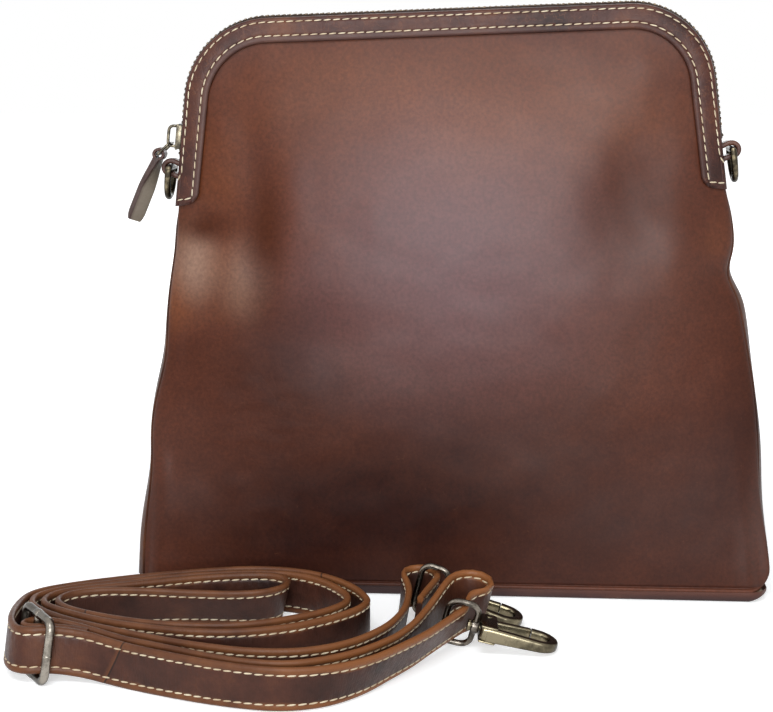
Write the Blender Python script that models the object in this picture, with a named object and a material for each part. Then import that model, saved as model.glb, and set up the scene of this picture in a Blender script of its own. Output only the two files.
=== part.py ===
"""Leather crossbody bag with an arched zip top, and its unclipped shoulder strap.

Metres, +Z up. X runs across the bag, -Y is its front, and the origin is on the floor
under the middle of the base. The strap lies coiled on its edge in front of the bag.
"""
import math

import bmesh
import bpy
import numpy as np
from mathutils import Matrix, Vector

# Bag body
BASE_WIDTH = 0.290
BASE_DEPTH = 0.060
BASE_RIM = 0.0053
BASE_CORNER = 0.004
BAG_HEIGHT = 0.264
TIP_HEIGHT = 0.181
TIP_WIDTH = BASE_WIDTH - 0.040
SHOULDER_WIDTH = TIP_WIDTH - 0.012
CORNER_RADIUS = 0.038
ARCH_DEPTH = 0.013
PANEL_THICKNESS = 0.0018
PANEL_CROWN = 0.004
PANEL_INSET = 0.001
SIDE_TAPER = 1.2
MIDDLE_TAPER = 2.2
EDGE_TURN = 3.0
GUSSET_BULGE = 0.002
BOARD_THICKNESS = 0.002
LINING_THICKNESS = 0.0008
LINING_GAP = 0.0018
LINING_MARGIN = 0.010
LINING_TOP = math.radians(69)
LINING_STEPS = 6
SLUMP_LEAN = 0.004
SLUMP_DROP = 0.037

# Clearance between pieces that touch on the real bag, and the bend past which an edge looks sharp
GAP = 0.0003
SHARP_EDGE = math.radians(40)

# Rings at the sides and the leather tabs that hold them
RING_WIRE = 0.0015
RING_PLACE = 0.017
RING_DROP = 0.0135
TAB_WIDTH = 0.0084
TAB_LEATHER = 0.0018
TAB_BORE = RING_WIRE + 2 * GAP
TAB_END = RING_PLACE + 0.0045
TAB_SINK = 0.006
RING_STANDOFF = TAB_BORE + TAB_LEATHER + 0.0007
RING_INNER_WIDTH = TAB_WIDTH + 0.0036

# Zip facing, tape and teeth
FACING_WIDTH = 0.011
FACING_THICKNESS = 0.0016
FACING_LIFT = 0.0005
FACING_TIP_RADIUS = 0.008
TAPE_WIDTH = 0.008
TAPE_THICKNESS = 0.0006
TAPE_SINK = 0.0007
TAPE_START = TAB_END + 0.001
TEETH_START = TAPE_START + 0.0025
TOOTH_PITCH = 0.0025
TOOTH_REACH = 0.0018
TOOTH_HEIGHT = 0.0018
TOOTH_RISE = 0.001
TOOTH_GAP = 0.0005
CHAIN_WIDTH = 0.0049
STOP_LENGTH = 0.0014

# Zip slider, its link and the leather pull
SLIDER_LENGTH = 0.012
SLIDER_PLACE = TEETH_START + SLIDER_LENGTH / 2 + GAP
SLIDER_WIDTH = 0.0084
SLIDER_PLATE = 0.0011
SLIDER_TRAVEL = 0.016
SLIDER_CLEARANCE = 0.00035
POST_THICKNESS = 0.0012
POST_LENGTH = 0.003
BRIDGE_LENGTH = 0.0104
BRIDGE_RISE = 0.0045
BRIDGE_BAR = 0.0012
BRIDGE_WIDTH = 0.0022
PULL_LENGTH = 0.032
PULL_WIDTH = 0.008
PULL_THICKNESS = 0.003
PULL_ANGLE = math.radians(23)
PULL_TWIST = math.radians(55)
LINK_WIRE = 0.0006
LINK_LENGTH = 0.0076
LINK_WIDTH = PULL_WIDTH + 0.0032
LINK_ANGLE = math.radians(46)
PULL_EYE = 2 * LINK_WIRE

# Shoulder strap
STRAP_WIDTH = 0.019
STRAP_THICKNESS = 0.0028
STRAP_STEP = 0.0080
STRAP_BEND = 0.0100

# Three-bar strap slider, standing on its edge round the strap
GLIDE_PLACE = Vector((-0.1621, -0.1390))
GLIDE_TURN = math.radians(-54)
GLIDE_LEAN = math.radians(10)
GLIDE_BAR_SPACING = 0.0136
GLIDE_WIRE = 0.0018
GLIDE_SLOT = STRAP_WIDTH + 0.0016

# Swivel clips
EYE_SLOT = STRAP_WIDTH + 0.0015
EYE_WIDTH = 0.010
EYE_WIRE = 0.0013
EYE_CORNER = 0.0046
SWIVEL_RADIUS = 0.0015
SWIVEL_CLEARANCE = 0.0004
BOSS_RADIUS = 2 * SWIVEL_RADIUS
BOSS_LENGTH = 0.0032
HEAD_RADIUS = SWIVEL_RADIUS + 0.0011
HEAD_LENGTH = 0.0014
CLIP_LENGTH = 0.0335
CLIP_WIDTH = 0.0166
CLIP_THICKNESS = 0.0074
CLIP_WALL = 0.004
CLIP_BLOCK = 0.0072
CLIP_NOSE_GAP = 0.0112
CLIP_TAPER = 0.42
GATE_WIDTH = 0.003
GATE_THICKNESS = CLIP_THICKNESS - 0.0026
RIVET_RADIUS = 0.001
RIVET_PROUD = 0.0005

# Where the middle of each clip's eye stands, the way the clip points and the way the eye leans
CLIPS = {
    "a": (Vector((0.0064, -0.0990)), Vector((0.97, 0.03, -0.23)), Vector((0.26, -0.40, 0.88))),
    "b": (Vector((-0.0070, -0.0623)), Vector((0.95, -0.17, -0.25)), Vector((0.34, -0.12, 0.93))),
}

# The strap's route in millimetres: x and y of its lower edge, the height of that edge
# and how far it leans to its left, in degrees. It starts at the end sewn round clip b's eye.
STRAP_ROUTE = (
    (-13.2, -82, 0, -10), (-11.6, -74, 1.2, -13), (-9.8, -67.5, 2.5, -15), (-8.9, -62, 3.2, -15),
    (-10.8, -56.8, 3.4, -9), (-16, -55.2, 3.2, 0), (-19.8, -59.2, 2.6, 6), (-20.2, -66.2, 1.5, 9),
    (-19.3, -74, 0.5, 10), (-19, -86, 0, 10), (-20.8, -99, 0, 13), (-24.8, -113, 0, 15),
    (-30, -125, 0, 14), (-37, -136, 0, 12), (-46, -145, 0, 8), (-58, -150.5, 0, 5),
    (-74, -151.5, 0, 3), (-90, -149, 0, 0), (-107, -143.5, 0, 0), (-120, -138, 0, 0),
    (-134, -132, 0, 0), (-149, -124.5, 0, 0), (-160, -117.5, 0, 0), (-168, -111, 0, -1),
    (-173.5, -105, 0, -3), (-175.3, -100.5, 0, -4), (-175.2, -96, 0, -3), (-173, -91.3, 0, -2),
    (-167.5, -86, 0, 0), (-159, -80.3, 0, 0), (-151, -76.5, 0, 0), (-141, -72, 0, 0),
    (-131, -67.8, 0, 0), (-118, -63, 0, 0), (-106, -59.3, 0, 0), (-94, -56.8, 0, 0),
    (-82, -55.6, 0, 0), (-72, -56.6, 0, 0), (-63, -59.8, 0, 0), (-55, -65.5, 0, 0),
    (-48.5, -73, 0, 0), (-43.5, -81, 0, 0), (-41.5, -88, 0, 0), (-42.2, -94, 0, 0),
    (-46, -100.5, 0, 0), (-52, -107, 0, 0), (-59, -112.3, 0, 0), (-67, -117.2, 0, 0),
    (-76, -121.3, 0, 0), (-86, -124.2, 0, 0), (-98, -125.4, 0, 0), (-110, -125, 0, 0),
    (-123, -122.8, 0, 0), (-136, -118.8, 0, 0), (-148, -113.6, 0, 0), (-156, -108.8, 0, 0),
    (-161, -104, 0, 0), (-163.3, -99.5, 0, 0), (-163, -95, 0, 0), (-160, -90.3, 0, 0),
    (-154.5, -86.3, 0, -2), (-146.5, -83, 0, -5), (-137, -80.2, 0, -11), (-126, -77.4, 0, -18),
    (-115, -75.6, 0, -23), (-104, -74.8, 0, -25), (-95, -75, 0, -25), (-86.5, -75, 0, -23),
    (-80, -73.6, 0, -21), (-75.8, -70.8, 0, -18), (-74, -67.4, 0, -14), (-74.8, -64, 0, -9),
    (-78.4, -61.2, 0, -5), (-85, -59.9, 0, -2), (-94, -60.5, 0, 0), (-105, -63.2, 0, 0),
    (-116, -67, 0, 0), (-126, -71, 0, 0), (-136, -75.2, 0, 0), (-146, -79.2, 0, 0),
    (-155, -82.8, 0, 0), (-163, -87, 0, 0), (-167.5, -91.5, 0, 0), (-169.3, -96.5, 0, 0),
    (-168.8, -101.5, 0, 0), (-165.5, -106, 0, 0), (-159, -111, 0, 0), (-151, -116, 0, 0),
    (-142, -120.8, 0, 0), (-131, -125.2, 0, 0), (-118, -129, 0, 0), (-105, -131.5, 0, 0),
    (-93, -132.3, 0, 0), (-83, -131.6, 0, 0), (-73, -129, 0, 0), (-63, -125, 0, 0),
    (-55, -120, 0, 0), (-47.5, -114, 0, 0), (-41, -107.5, 0, 0), (-36.5, -101.5, 0, 0),
    (-34, -96, 0, 0), (-33, -90, 0, 0), (-35, -83.5, 0, 0), (-39, -75.5, 0, 0),
    (-45.5, -67, 0, 0), (-53, -60.2, 0, 0), (-62, -54.8, 0, 0), (-71.5, -51.8, 0, 0),
    (-81, -50.6, 0, 0), (-92, -51.2, 0, 0), (-104, -54, 0, 0), (-118, -58.4, 0, 0),
    (-131, -63.4, 0, 0), (-143, -68.6, 0, 0), (-155, -74.4, 0, 0), (-165.6, -80.6, 0, 0),
    (-172.8, -86, 0, 0), (-177.4, -92, 0, 1), (-179.5, -98.6, 0, 3), (-180.2, -106, 0.6, 6),
    (-179.4, -114, 1.8, 8), (-177.8, -123, 3.2, 8), (-176, -132, 4, 8), (-173.8, -139.5, 4, 9),
    (-169.5, -146, 4, 9), (-163, -148.4, 4, 7), (-156, -147.2, 4, 6), (-149, -145.9, 3.2, 5),
    (-141, -145.7, 2, 4), (-133, -147, 0.8, 2), (-123, -150.2, 0, 0), (-112, -155, 0, -2),
    (-99, -160, 0, -4), (-87, -164, 0, -6), (-75, -167, 0, -8), (-63, -168.5, 0, -10),
    (-52, -167, 0, -13), (-41, -161.5, 0, -17), (-30.5, -150.5, 0, -22), (-21, -136, 0.5, -26),
    (-13, -123.5, 1.2, -28), (-7, -112.5, 2, -29), (-2, -103.8, 2.7, -29), (2.2, -96.4, 3.2, -28),
    (6.4, -90.6, 3.9, -22), (10.8, -87.2, 4.8, -14), (14.6, -84.4, 5.8, -8), (15.6, -80.9, 7.2, -5),
    (12.8, -78.2, 8.4, -5), (8.6, -77.4, 8.8, -3), (4.4, -79, 8.6, 2), (0.5, -83, 7.4, 7),
    (-4.2, -90, 5.4, 11), (-9.8, -101.5, 2.8, 14), (-16, -115.5, 1, 17), (-22, -127, 0, 18),
    (-29, -139, 0, 16), (-36.5, -148.5, 0, 14), (-45.5, -156, 0, 12), (-54.5, -160.8, 0, 10),
    (-64, -162.6, 0, 8), (-76, -161.5, 0, 6), (-88, -158, 0, 4), (-100, -153.5, 0, 2),
    (-114, -147.8, 0, 0), (-124, -143.6, 0, 0), (-135, -139.8, 0.8, -2), (-144, -137.8, 2, -4),
    (-152, -136.8, 3.3, -5), (-158.5, -136.2, 4, -6), (-163.8, -136.1, 4, -4), (-167.3, -138.3, 4, 3),
    (-167.5, -141.9, 4, 7), (-164.2, -144.4, 4, 7), (-158.5, -143.8, 4, 5), (-151, -142, 3.2, 4),
    (-143, -141.8, 2, 4),
)

for old in list(bpy.data.objects):
    bpy.data.objects.remove(old, do_unlink=True)


# Finishes: base colour, roughness and metallic value

FINISHES = {
    "panel_leather": ((0.16, 0.065, 0.038), 0.42, 0.0),
    "trim_leather": ((0.075, 0.032, 0.024), 0.45, 0.0),
    "strap_leather": ((0.14, 0.055, 0.032), 0.45, 0.0),
    "lining_cloth": ((0.10, 0.07, 0.05), 0.9, 0.0),
    "board": ((0.30, 0.24, 0.17), 0.9, 0.0),
    "tape_cloth": ((0.05, 0.03, 0.022), 0.9, 0.0),
    "brass": ((0.36, 0.29, 0.17), 0.35, 1.0),
    "aged_metal": ((0.22, 0.20, 0.16), 0.35, 1.0),
}


def finish(obj, kind):
    """Give an object its own Principled material of one of the kinds above."""
    colour, roughness, metallic = FINISHES[kind]
    material = bpy.data.materials.new(obj.name + "_" + kind)
    material.use_nodes = True
    shader = material.node_tree.nodes["Principled BSDF"]
    shader.inputs["Base Color"].default_value = (*colour, 1.0)
    shader.inputs["Roughness"].default_value = roughness
    shader.inputs["Metallic"].default_value = metallic
    obj.data.materials.append(material)


def add_object(name, bm, kind=None):
    """Turn a bmesh into an object, which is a hidden helper if it has no finish."""
    mesh = bpy.data.meshes.new(name)
    bm.normal_update()
    bmesh.ops.recalc_face_normals(bm, faces=bm.faces[:])
    bm.to_mesh(mesh)
    bm.free()
    mesh.shade_smooth()
    mesh.set_sharp_from_angle(angle=SHARP_EDGE)
    obj = bpy.data.objects.new(name, mesh)
    bpy.context.collection.objects.link(obj)
    if kind:
        finish(obj, kind)
    else:
        obj.hide_render = True
        obj.display_type = "WIRE"
    return obj


def combine(target, operation, *helpers):
    """Join helpers to an object, or cut them out of it."""
    for helper in helpers:
        modifier = target.modifiers.new(helper.name, "BOOLEAN")
        modifier.operation = operation
        modifier.solver = "EXACT"
        modifier.object = helper
    return target


def hang(obj, pivot):
    """Put the origin of a moving piece on its joint."""
    obj.data.transform(Matrix.Translation(-pivot))
    obj.location = pivot
    return obj


def sheet(name, kind, rows, columns, outer, inner):
    """A closed sheet between two surfaces, each a function of a row and a column value."""
    bm = bmesh.new()
    row_cells = len(rows) - 1
    column_cells = len(columns) - 1
    bmesh.ops.create_grid(bm, x_segments=column_cells, y_segments=row_cells, size=0.5)
    lower = bm.verts[:]
    extruded = bmesh.ops.extrude_face_region(bm, geom=bm.faces[:], use_keep_orig=True)
    upper = [item for item in extruded["geom"] if isinstance(item, bmesh.types.BMVert)]
    for verts, surface in ((lower, inner), (upper, outer)):
        for vert in verts:
            column = columns[round((vert.co.x + 0.5) * column_cells)]
            row = rows[round((vert.co.y + 0.5) * row_cells)]
            vert.co = surface(row, column)
    bmesh.ops.remove_doubles(bm, verts=bm.verts[:], dist=1e-6)
    return add_object(name, bm, kind)


def frame_matrix(origin, along, across, out):
    """A local frame from its origin and three axes."""
    matrix = Matrix((along, across, out)).transposed().to_4x4()
    matrix.translation = origin
    return matrix


def cylinder(name, kind, frame, start, end, radius, segments=16):
    """A solid cylinder between two points of a local frame."""
    first = frame @ Vector(start)
    axis = frame @ Vector(end) - first
    turn = axis.to_track_quat("Z", "Y").to_matrix().to_4x4()
    bm = bmesh.new()
    bmesh.ops.create_cone(
        bm, cap_ends=True, segments=segments, radius1=radius, radius2=radius, depth=axis.length,
        matrix=Matrix.Translation(first + axis / 2) @ turn)
    return add_object(name, bm, kind)


def block(name, kind, frame, low, high, bevel=0.0):
    """A box between two corners of a local frame, with its edges eased by a bevel."""
    low = Vector(low)
    high = Vector(high)
    bm = bmesh.new()
    bmesh.ops.create_cube(bm, size=1.0)
    for vert in bm.verts:
        vert.co = Vector([a + (b - a) * (c + 0.5) for a, b, c in zip(low, high, vert.co)])
    if bevel:
        bmesh.ops.bevel(
            bm, geom=bm.edges[:], offset=bevel, offset_type="OFFSET", segments=1,
            profile=0.5, affect="EDGES", material=-1)
    bm.transform(frame)
    return add_object(name, bm, kind)


def wire(name, kind, points, radius, sides=8):
    """A closed ring of round wire through points that lie in one plane."""
    count = len(points)
    plane = (points[count // 3] - points[0]).cross(points[2 * count // 3] - points[0]).normalized()
    bm = bmesh.new()
    borders = []
    for index, centre in enumerate(points):
        along = (points[(index + 1) % count] - points[index - 1]).normalized()
        frame = frame_matrix(centre, along.cross(plane), plane, along)
        made = bmesh.ops.create_circle(bm, segments=sides, radius=radius, matrix=frame)["verts"]
        borders.append([edge for edge in bm.edges if edge.verts[0] in made])
    for index in range(count):
        bmesh.ops.bridge_loops(bm, edges=borders[index] + borders[(index + 1) % count])
    return add_object(name, bm, kind)


# Shape of the bag

CORNER = Vector((SHOULDER_WIDTH / 2 - CORNER_RADIUS, BAG_HEIGHT - CORNER_RADIUS))
TIP = Vector((TIP_WIDTH / 2, TIP_HEIGHT))
TANGENT = math.atan2(*reversed(TIP - CORNER)) + math.acos(CORNER_RADIUS / (TIP - CORNER).length)
TANGENT_POINT = CORNER + CORNER_RADIUS * Vector((math.cos(TANGENT), math.sin(TANGENT)))
SIDE_RUN = (TANGENT_POINT - TIP).length
CORNER_RUN = CORNER_RADIUS * (math.pi / 2 - TANGENT)
ARCH_LENGTH = 2 * (SIDE_RUN + CORNER_RUN + CORNER.x)


def settled(x, y, z):
    """A point of the bag as it stands: leaning to its left, with its left shoulder lower."""
    lean = SLUMP_LEAN * z / BAG_HEIGHT
    drop = SLUMP_DROP * x * min(1.0, z / TIP_HEIGHT)
    return Vector((x - lean, y, z + drop))


def arch_at(run):
    """Place and outward direction on the arch's outer edge, from its left tip, before it settles."""
    half_run = min(run, ARCH_LENGTH - run)
    if half_run < SIDE_RUN:
        angle = TANGENT
        place = TIP.lerp(TANGENT_POINT, half_run / SIDE_RUN)
    elif half_run < SIDE_RUN + CORNER_RUN:
        angle = TANGENT + (half_run - SIDE_RUN) / CORNER_RADIUS
        place = CORNER + CORNER_RADIUS * Vector((math.cos(angle), math.sin(angle)))
    else:
        angle = math.pi / 2
        place = Vector((CORNER.x + SIDE_RUN + CORNER_RUN - half_run, BAG_HEIGHT))
    side = -1 if run < ARCH_LENGTH / 2 else 1
    return Vector((side * place.x, place.y)), Vector((side * math.cos(angle), math.sin(angle)))


def half_width(z, inset=0.0):
    """Half the width of the bag at a height, drawn in by an inset."""
    if z <= TIP_HEIGHT:
        return BASE_WIDTH / 2 + (TIP_WIDTH - BASE_WIDTH) / 2 * z / TIP_HEIGHT - inset
    if z <= TANGENT_POINT.y:
        share = (z - TIP_HEIGHT) / (TANGENT_POINT.y - TIP_HEIGHT)
        return TIP.x + (TANGENT_POINT.x - TIP.x) * share - inset
    radius = CORNER_RADIUS - inset
    return CORNER.x + math.sqrt(max(0.0, radius ** 2 - (z - CORNER.y) ** 2))


def side_depth(z):
    """Half the depth of the bag along its side seams and its arch."""
    taper = max(0.0, 1 - z / TIP_HEIGHT) ** SIDE_TAPER
    return (ARCH_DEPTH + (BASE_DEPTH - ARCH_DEPTH) * taper) / 2


def panel_depth(x, z):
    """Half the depth of the bag at a point of a panel: crowned in the middle, thin at the arch."""
    rise = min(z / BAG_HEIGHT, 1.0)
    middle = (ARCH_DEPTH + (BASE_DEPTH - ARCH_DEPTH) * (1 - rise ** MIDDLE_TAPER)) / 2
    middle += PANEL_CROWN * math.sin(math.pi * rise)
    across = min(abs(x) / half_width(z), 1.0)
    edge = side_depth(z)
    return edge + (middle - edge) * (1 - across ** EDGE_TURN)


def spread(start, end, cells):
    """Evenly spaced values from start to end."""
    return [start + (end - start) * index / cells for index in range(cells + 1)]


def arch_runs(start, straight_cells, corner_cells, top_cells):
    """Runs along the arch, closer together round its corners."""
    left = spread(start, SIDE_RUN, straight_cells)[:-1]
    left += spread(SIDE_RUN, SIDE_RUN + CORNER_RUN, corner_cells)[:-1]
    middle = spread(SIDE_RUN + CORNER_RUN, ARCH_LENGTH - SIDE_RUN - CORNER_RUN, top_cells)
    return left + middle + [ARCH_LENGTH - run for run in reversed(left)]


def rounded_loop(half_length, half_breadth, corner):
    """Points round a rectangle with rounded corners, centred on its origin."""
    points = []
    for quarter, (x_side, y_side) in enumerate(((1, 1), (-1, 1), (-1, -1), (1, -1))):
        for angle in spread(quarter * math.pi / 2, (quarter + 1) * math.pi / 2, 4):
            x = x_side * (half_length - corner) + corner * math.cos(angle)
            y = y_side * (half_breadth - corner) + corner * math.sin(angle)
            points.append((x, y))
    return points


# Front and back panels

def panel_rows():
    """Heights of a panel's rows, closer together up the rounded corners."""
    bottom = BASE_RIM + GAP
    lower = spread(bottom, TIP_HEIGHT, 6) + spread(TIP_HEIGHT, TANGENT_POINT.y, 2)[1:]
    radius = CORNER_RADIUS - PANEL_INSET
    angles = spread(TANGENT, math.pi / 2, 5)[1:]
    return lower + [CORNER.y + radius * math.sin(angle) for angle in angles]


def make_panel(name, facing):
    def outer(z, across):
        x = across * half_width(z, PANEL_INSET)
        return settled(x, facing * panel_depth(x, z), z)

    def inner(z, across):
        x = across * half_width(z, PANEL_INSET)
        return settled(x, facing * (panel_depth(x, z) - PANEL_THICKNESS), z)

    columns = [math.sin(angle) for angle in spread(-math.pi / 2, math.pi / 2, 12)]
    return sheet(name, "panel_leather", panel_rows(), columns, outer, inner)


make_panel("front_panel", -1)
make_panel("back_panel", 1)


# Side gussets, between the panels' edges

def make_gusset(name, side):
    def surface(sunk):
        def place(z, across):
            x = half_width(z) + GUSSET_BULGE * (1 - across ** 2) - sunk
            y = across * (side_depth(z) - PANEL_THICKNESS - GAP)
            return settled(side * x, y, z)
        return place

    rows = spread(BASE_RIM + GAP, TIP_HEIGHT - GAP, 6)
    columns = spread(-1.0, 1.0, 4)
    return sheet(name, "panel_leather", rows, columns, surface(0.0), surface(PANEL_THICKNESS))


make_gusset("left_gusset", -1)
make_gusset("right_gusset", 1)


# Base: a shallow turned-up leather tray with a stiffening board in it

def make_base():
    bm = bmesh.new()
    bmesh.ops.create_cube(bm, size=1.0)
    bmesh.ops.scale(bm, vec=(BASE_WIDTH, BASE_DEPTH, BASE_RIM), verts=bm.verts)
    bmesh.ops.translate(bm, vec=(0, 0, BASE_RIM / 2), verts=bm.verts)
    upright = [edge for edge in bm.edges if abs(edge.verts[0].co.z - edge.verts[1].co.z) > BASE_RIM / 2]
    bmesh.ops.bevel(
        bm, geom=upright, offset=BASE_CORNER, offset_type="OFFSET", segments=3,
        profile=0.5, affect="EDGES", material=-1)
    top = [face for face in bm.faces if face.normal.z > 0.9]
    bmesh.ops.inset_region(bm, faces=top, thickness=PANEL_THICKNESS)
    bmesh.ops.translate(bm, vec=(0, 0, PANEL_THICKNESS - BASE_RIM), verts=top[0].verts)
    return add_object("base_panel", bm, "panel_leather")


def make_board():
    reach = PANEL_THICKNESS + GAP
    low = (-BASE_WIDTH / 2 + reach, -BASE_DEPTH / 2 + reach, PANEL_THICKNESS + GAP)
    high = (BASE_WIDTH / 2 - reach, BASE_DEPTH / 2 - reach, PANEL_THICKNESS + GAP + BOARD_THICKNESS)
    bm = bmesh.new()
    bmesh.ops.create_cube(bm, size=1.0)
    for vert in bm.verts:
        vert.co = Vector([a + (b - a) * (c + 0.5) for a, b, c in zip(low, high, vert.co)])
    upright = [edge for edge in bm.edges if abs(edge.verts[0].co.z - edge.verts[1].co.z) > BOARD_THICKNESS / 2]
    bmesh.ops.bevel(
        bm, geom=upright, offset=BASE_CORNER, offset_type="OFFSET", segments=3,
        profile=0.5, affect="EDGES", material=-1)
    return add_object("base_board", bm, "board")


make_base()
make_board()


# Lining: a thin cloth bag inside the leather, open under the zip

def lining_point(z, step, inward):
    """A point of the lining's ring at a height, stepping along its front and then its back."""
    facing = -1 if step <= LINING_STEPS else 1
    across = (step % (LINING_STEPS + 1)) * 2 / LINING_STEPS - 1
    x = -facing * across * (half_width(z, LINING_MARGIN) - inward)
    depth = min(panel_depth(x, z), BASE_DEPTH / 2) - PANEL_THICKNESS - LINING_GAP - inward
    return settled(x, facing * depth, z)


def make_lining():
    bottom = PANEL_THICKNESS + 2 * GAP + BOARD_THICKNESS + LINING_GAP
    top_radius = CORNER_RADIUS - LINING_MARGIN
    heights = spread(bottom, TANGENT_POINT.y, 6)
    heights += [CORNER.y + top_radius * math.sin(angle) for angle in spread(TANGENT, LINING_TOP, 3)[1:]]
    bm = bmesh.new()
    step_of = bm.verts.layers.int.new("step")
    level_of = bm.verts.layers.int.new("level")
    bmesh.ops.create_circle(bm, cap_ends=True, segments=2 * LINING_STEPS + 2, radius=1.0)
    for step, vert in enumerate(bm.verts):
        vert[step_of] = step
    for level in range(1, len(heights)):
        rim = [edge for edge in bm.edges if edge.is_boundary]
        grown = bmesh.ops.extrude_edge_only(bm, edges=rim)["geom"]
        for vert in (item for item in grown if isinstance(item, bmesh.types.BMVert)):
            vert[level_of] = level
    outside = bm.verts[:]
    doubled = bmesh.ops.extrude_face_region(bm, geom=bm.faces[:], use_keep_orig=True)["geom"]
    inside = [item for item in doubled if isinstance(item, bmesh.types.BMVert)]
    for verts, inward in ((outside, 0.0), (inside, LINING_THICKNESS)):
        for vert in verts:
            z = heights[vert[level_of]]
            if vert[level_of] == 0:
                z += inward
            vert.co = lining_point(z, vert[step_of], inward)
    return add_object("lining", bm, "lining_cloth")


make_lining()


# Zip facings: leather strips laid over the panels' arched edges

def make_facing(name, facing):
    def tip_start(inset):
        over = max(0.0, inset - (FACING_WIDTH - FACING_TIP_RADIUS))
        return FACING_TIP_RADIUS - math.sqrt(FACING_TIP_RADIUS ** 2 - over ** 2)

    def surface(lift):
        def place(run, inset):
            start = tip_start(inset)
            run = start + run / ARCH_LENGTH * (ARCH_LENGTH - 2 * start)
            edge, out = arch_at(run)
            x, z = edge - out * inset
            return settled(x, facing * (panel_depth(x, z) + lift), z)
        return place

    columns = spread(0.0, FACING_WIDTH, 4)
    rows = arch_runs(0.0, 3, 6, 6)
    return sheet(
        name, "trim_leather", rows, columns,
        surface(FACING_LIFT + FACING_THICKNESS), surface(FACING_LIFT))


make_facing("front_zip_facing", -1)
make_facing("rear_zip_facing", 1)


# Zip tapes, from behind each panel's edge to its row of teeth

TEETH_BASE = CHAIN_WIDTH / 2


def make_tape(name, facing):
    hidden = PANEL_THICKNESS + TAPE_SINK

    def surface(side):
        shift = side * TAPE_THICKNESS / 2

        def place(run, column):
            edge, out = arch_at(run)
            inset, kind = column
            lift = 0.0
            if kind == "sewn":
                x, z = edge - out * inset
                depth = panel_depth(x, z) - hidden - TAPE_THICKNESS / 2 + shift
            elif kind == "bend":
                depth = ARCH_DEPTH / 2 - hidden - TAPE_THICKNESS / 2 + shift
            else:
                depth = TEETH_BASE + GAP
                lift = shift
            x, z = edge - out * (inset - lift)
            return settled(x, facing * depth, z)
        return place

    columns = [(TAPE_WIDTH, "sewn"), (TAPE_WIDTH / 2, "sewn"), (0.0006, "bend"), (-TOOTH_RISE, "edge")]
    rows = arch_runs(TAPE_START, 3, 6, 5)
    return sheet(name, "tape_cloth", rows, columns, surface(1), surface(-1))


make_tape("front_zip_tape", -1)
make_tape("rear_zip_tape", 1)


# Zip teeth: a toothed strip along each tape, and the stops at the ends

POST_REACH = POST_THICKNESS / 2 + GAP


def chain_place(run, rise, depth):
    """A point of the zip chain: along the arch, above its edge and off its middle."""
    edge, out = arch_at(run)
    x, z = edge + out * rise
    return settled(x, depth, z)


def make_teeth(name, facing):
    steps = 2 * int((ARCH_LENGTH - 2 * TEETH_START) / TOOTH_PITCH)
    runs = spread(TEETH_START, ARCH_LENGTH - TEETH_START, steps)
    parted_until = SLIDER_PLACE + SLIDER_TRAVEL + GAP

    def edge_depth(index):
        if runs[index] < parted_until:
            return -POST_REACH
        tooth = TOOTH_REACH / 2 if (index % 2 == 0) == (facing < 0) else -TOOTH_REACH / 2
        return tooth - TOOTH_GAP / 2

    def surface(rise):
        def place(index, at_base):
            depth = -TEETH_BASE if at_base else edge_depth(index)
            return chain_place(runs[index], rise, -facing * depth)
        return place

    top = TOOTH_RISE + TOOTH_HEIGHT / 2
    bottom = TOOTH_RISE - TOOTH_HEIGHT / 2
    return sheet(name, "brass", range(len(runs)), (True, False), surface(top), surface(bottom))


def make_stop(name, start, depths):
    def surface(rise):
        def place(run, depth):
            return chain_place(run, rise, depth)
        return place

    top = TOOTH_RISE + TOOTH_HEIGHT / 2 + GAP / 2
    bottom = TOOTH_RISE - TOOTH_HEIGHT / 2 - GAP / 2
    return sheet(name, "brass", (start, start + STOP_LENGTH), depths, surface(top), surface(bottom))


make_teeth("front_zip_teeth", -1)
make_teeth("rear_zip_teeth", 1)
STOP_START = TEETH_START - GAP - STOP_LENGTH
make_stop("front_zip_stop", STOP_START, (-TEETH_BASE, -POST_REACH))
make_stop("rear_zip_stop", STOP_START, (POST_REACH, TEETH_BASE))
make_stop("zip_end_stop", ARCH_LENGTH - STOP_START - STOP_LENGTH, (-TEETH_BASE, TEETH_BASE))


# Ring tabs and rings at the two sides

def side_frame(run):
    """Frame on the arch's straight side: up along it, across the bag's depth, and outward."""
    place = chain_place(run, 0.0, 0.0)
    half = GAP if run < ARCH_LENGTH / 2 else -GAP
    along = (chain_place(run + half, 0.0, 0.0) - chain_place(run - half, 0.0, 0.0)).normalized()
    out = Vector((-along.z, 0.0, along.x))
    if run > ARCH_LENGTH / 2:
        out.negate()
    return frame_matrix(place, along, out.cross(along), out)


def make_ring_tab(side, run):
    frame = side_frame(run)
    half = TAB_WIDTH / 2
    loop = TAB_BORE + TAB_LEATHER
    low = GAP + PANEL_THICKNESS - RING_PLACE
    high = TAB_END - RING_PLACE
    tab = block(side + "_ring_tab", "trim_leather", frame, (low, -half, -TAB_SINK), (high, half, GAP))
    stem = block(
        side + "_tab_stem", None, frame,
        (-loop, -half, -TAB_SINK / 2), (-TAB_BORE, half, RING_STANDOFF))
    ears = cylinder(
        side + "_tab_loop", None, frame,
        (0, -half, RING_STANDOFF), (0, half, RING_STANDOFF), loop)
    bore = cylinder(
        side + "_tab_bore", None, frame,
        (0, -TAB_WIDTH, RING_STANDOFF), (0, TAB_WIDTH, RING_STANDOFF), TAB_BORE)
    combine(tab, "UNION", stem, ears)
    return combine(tab, "DIFFERENCE", bore)


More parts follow.
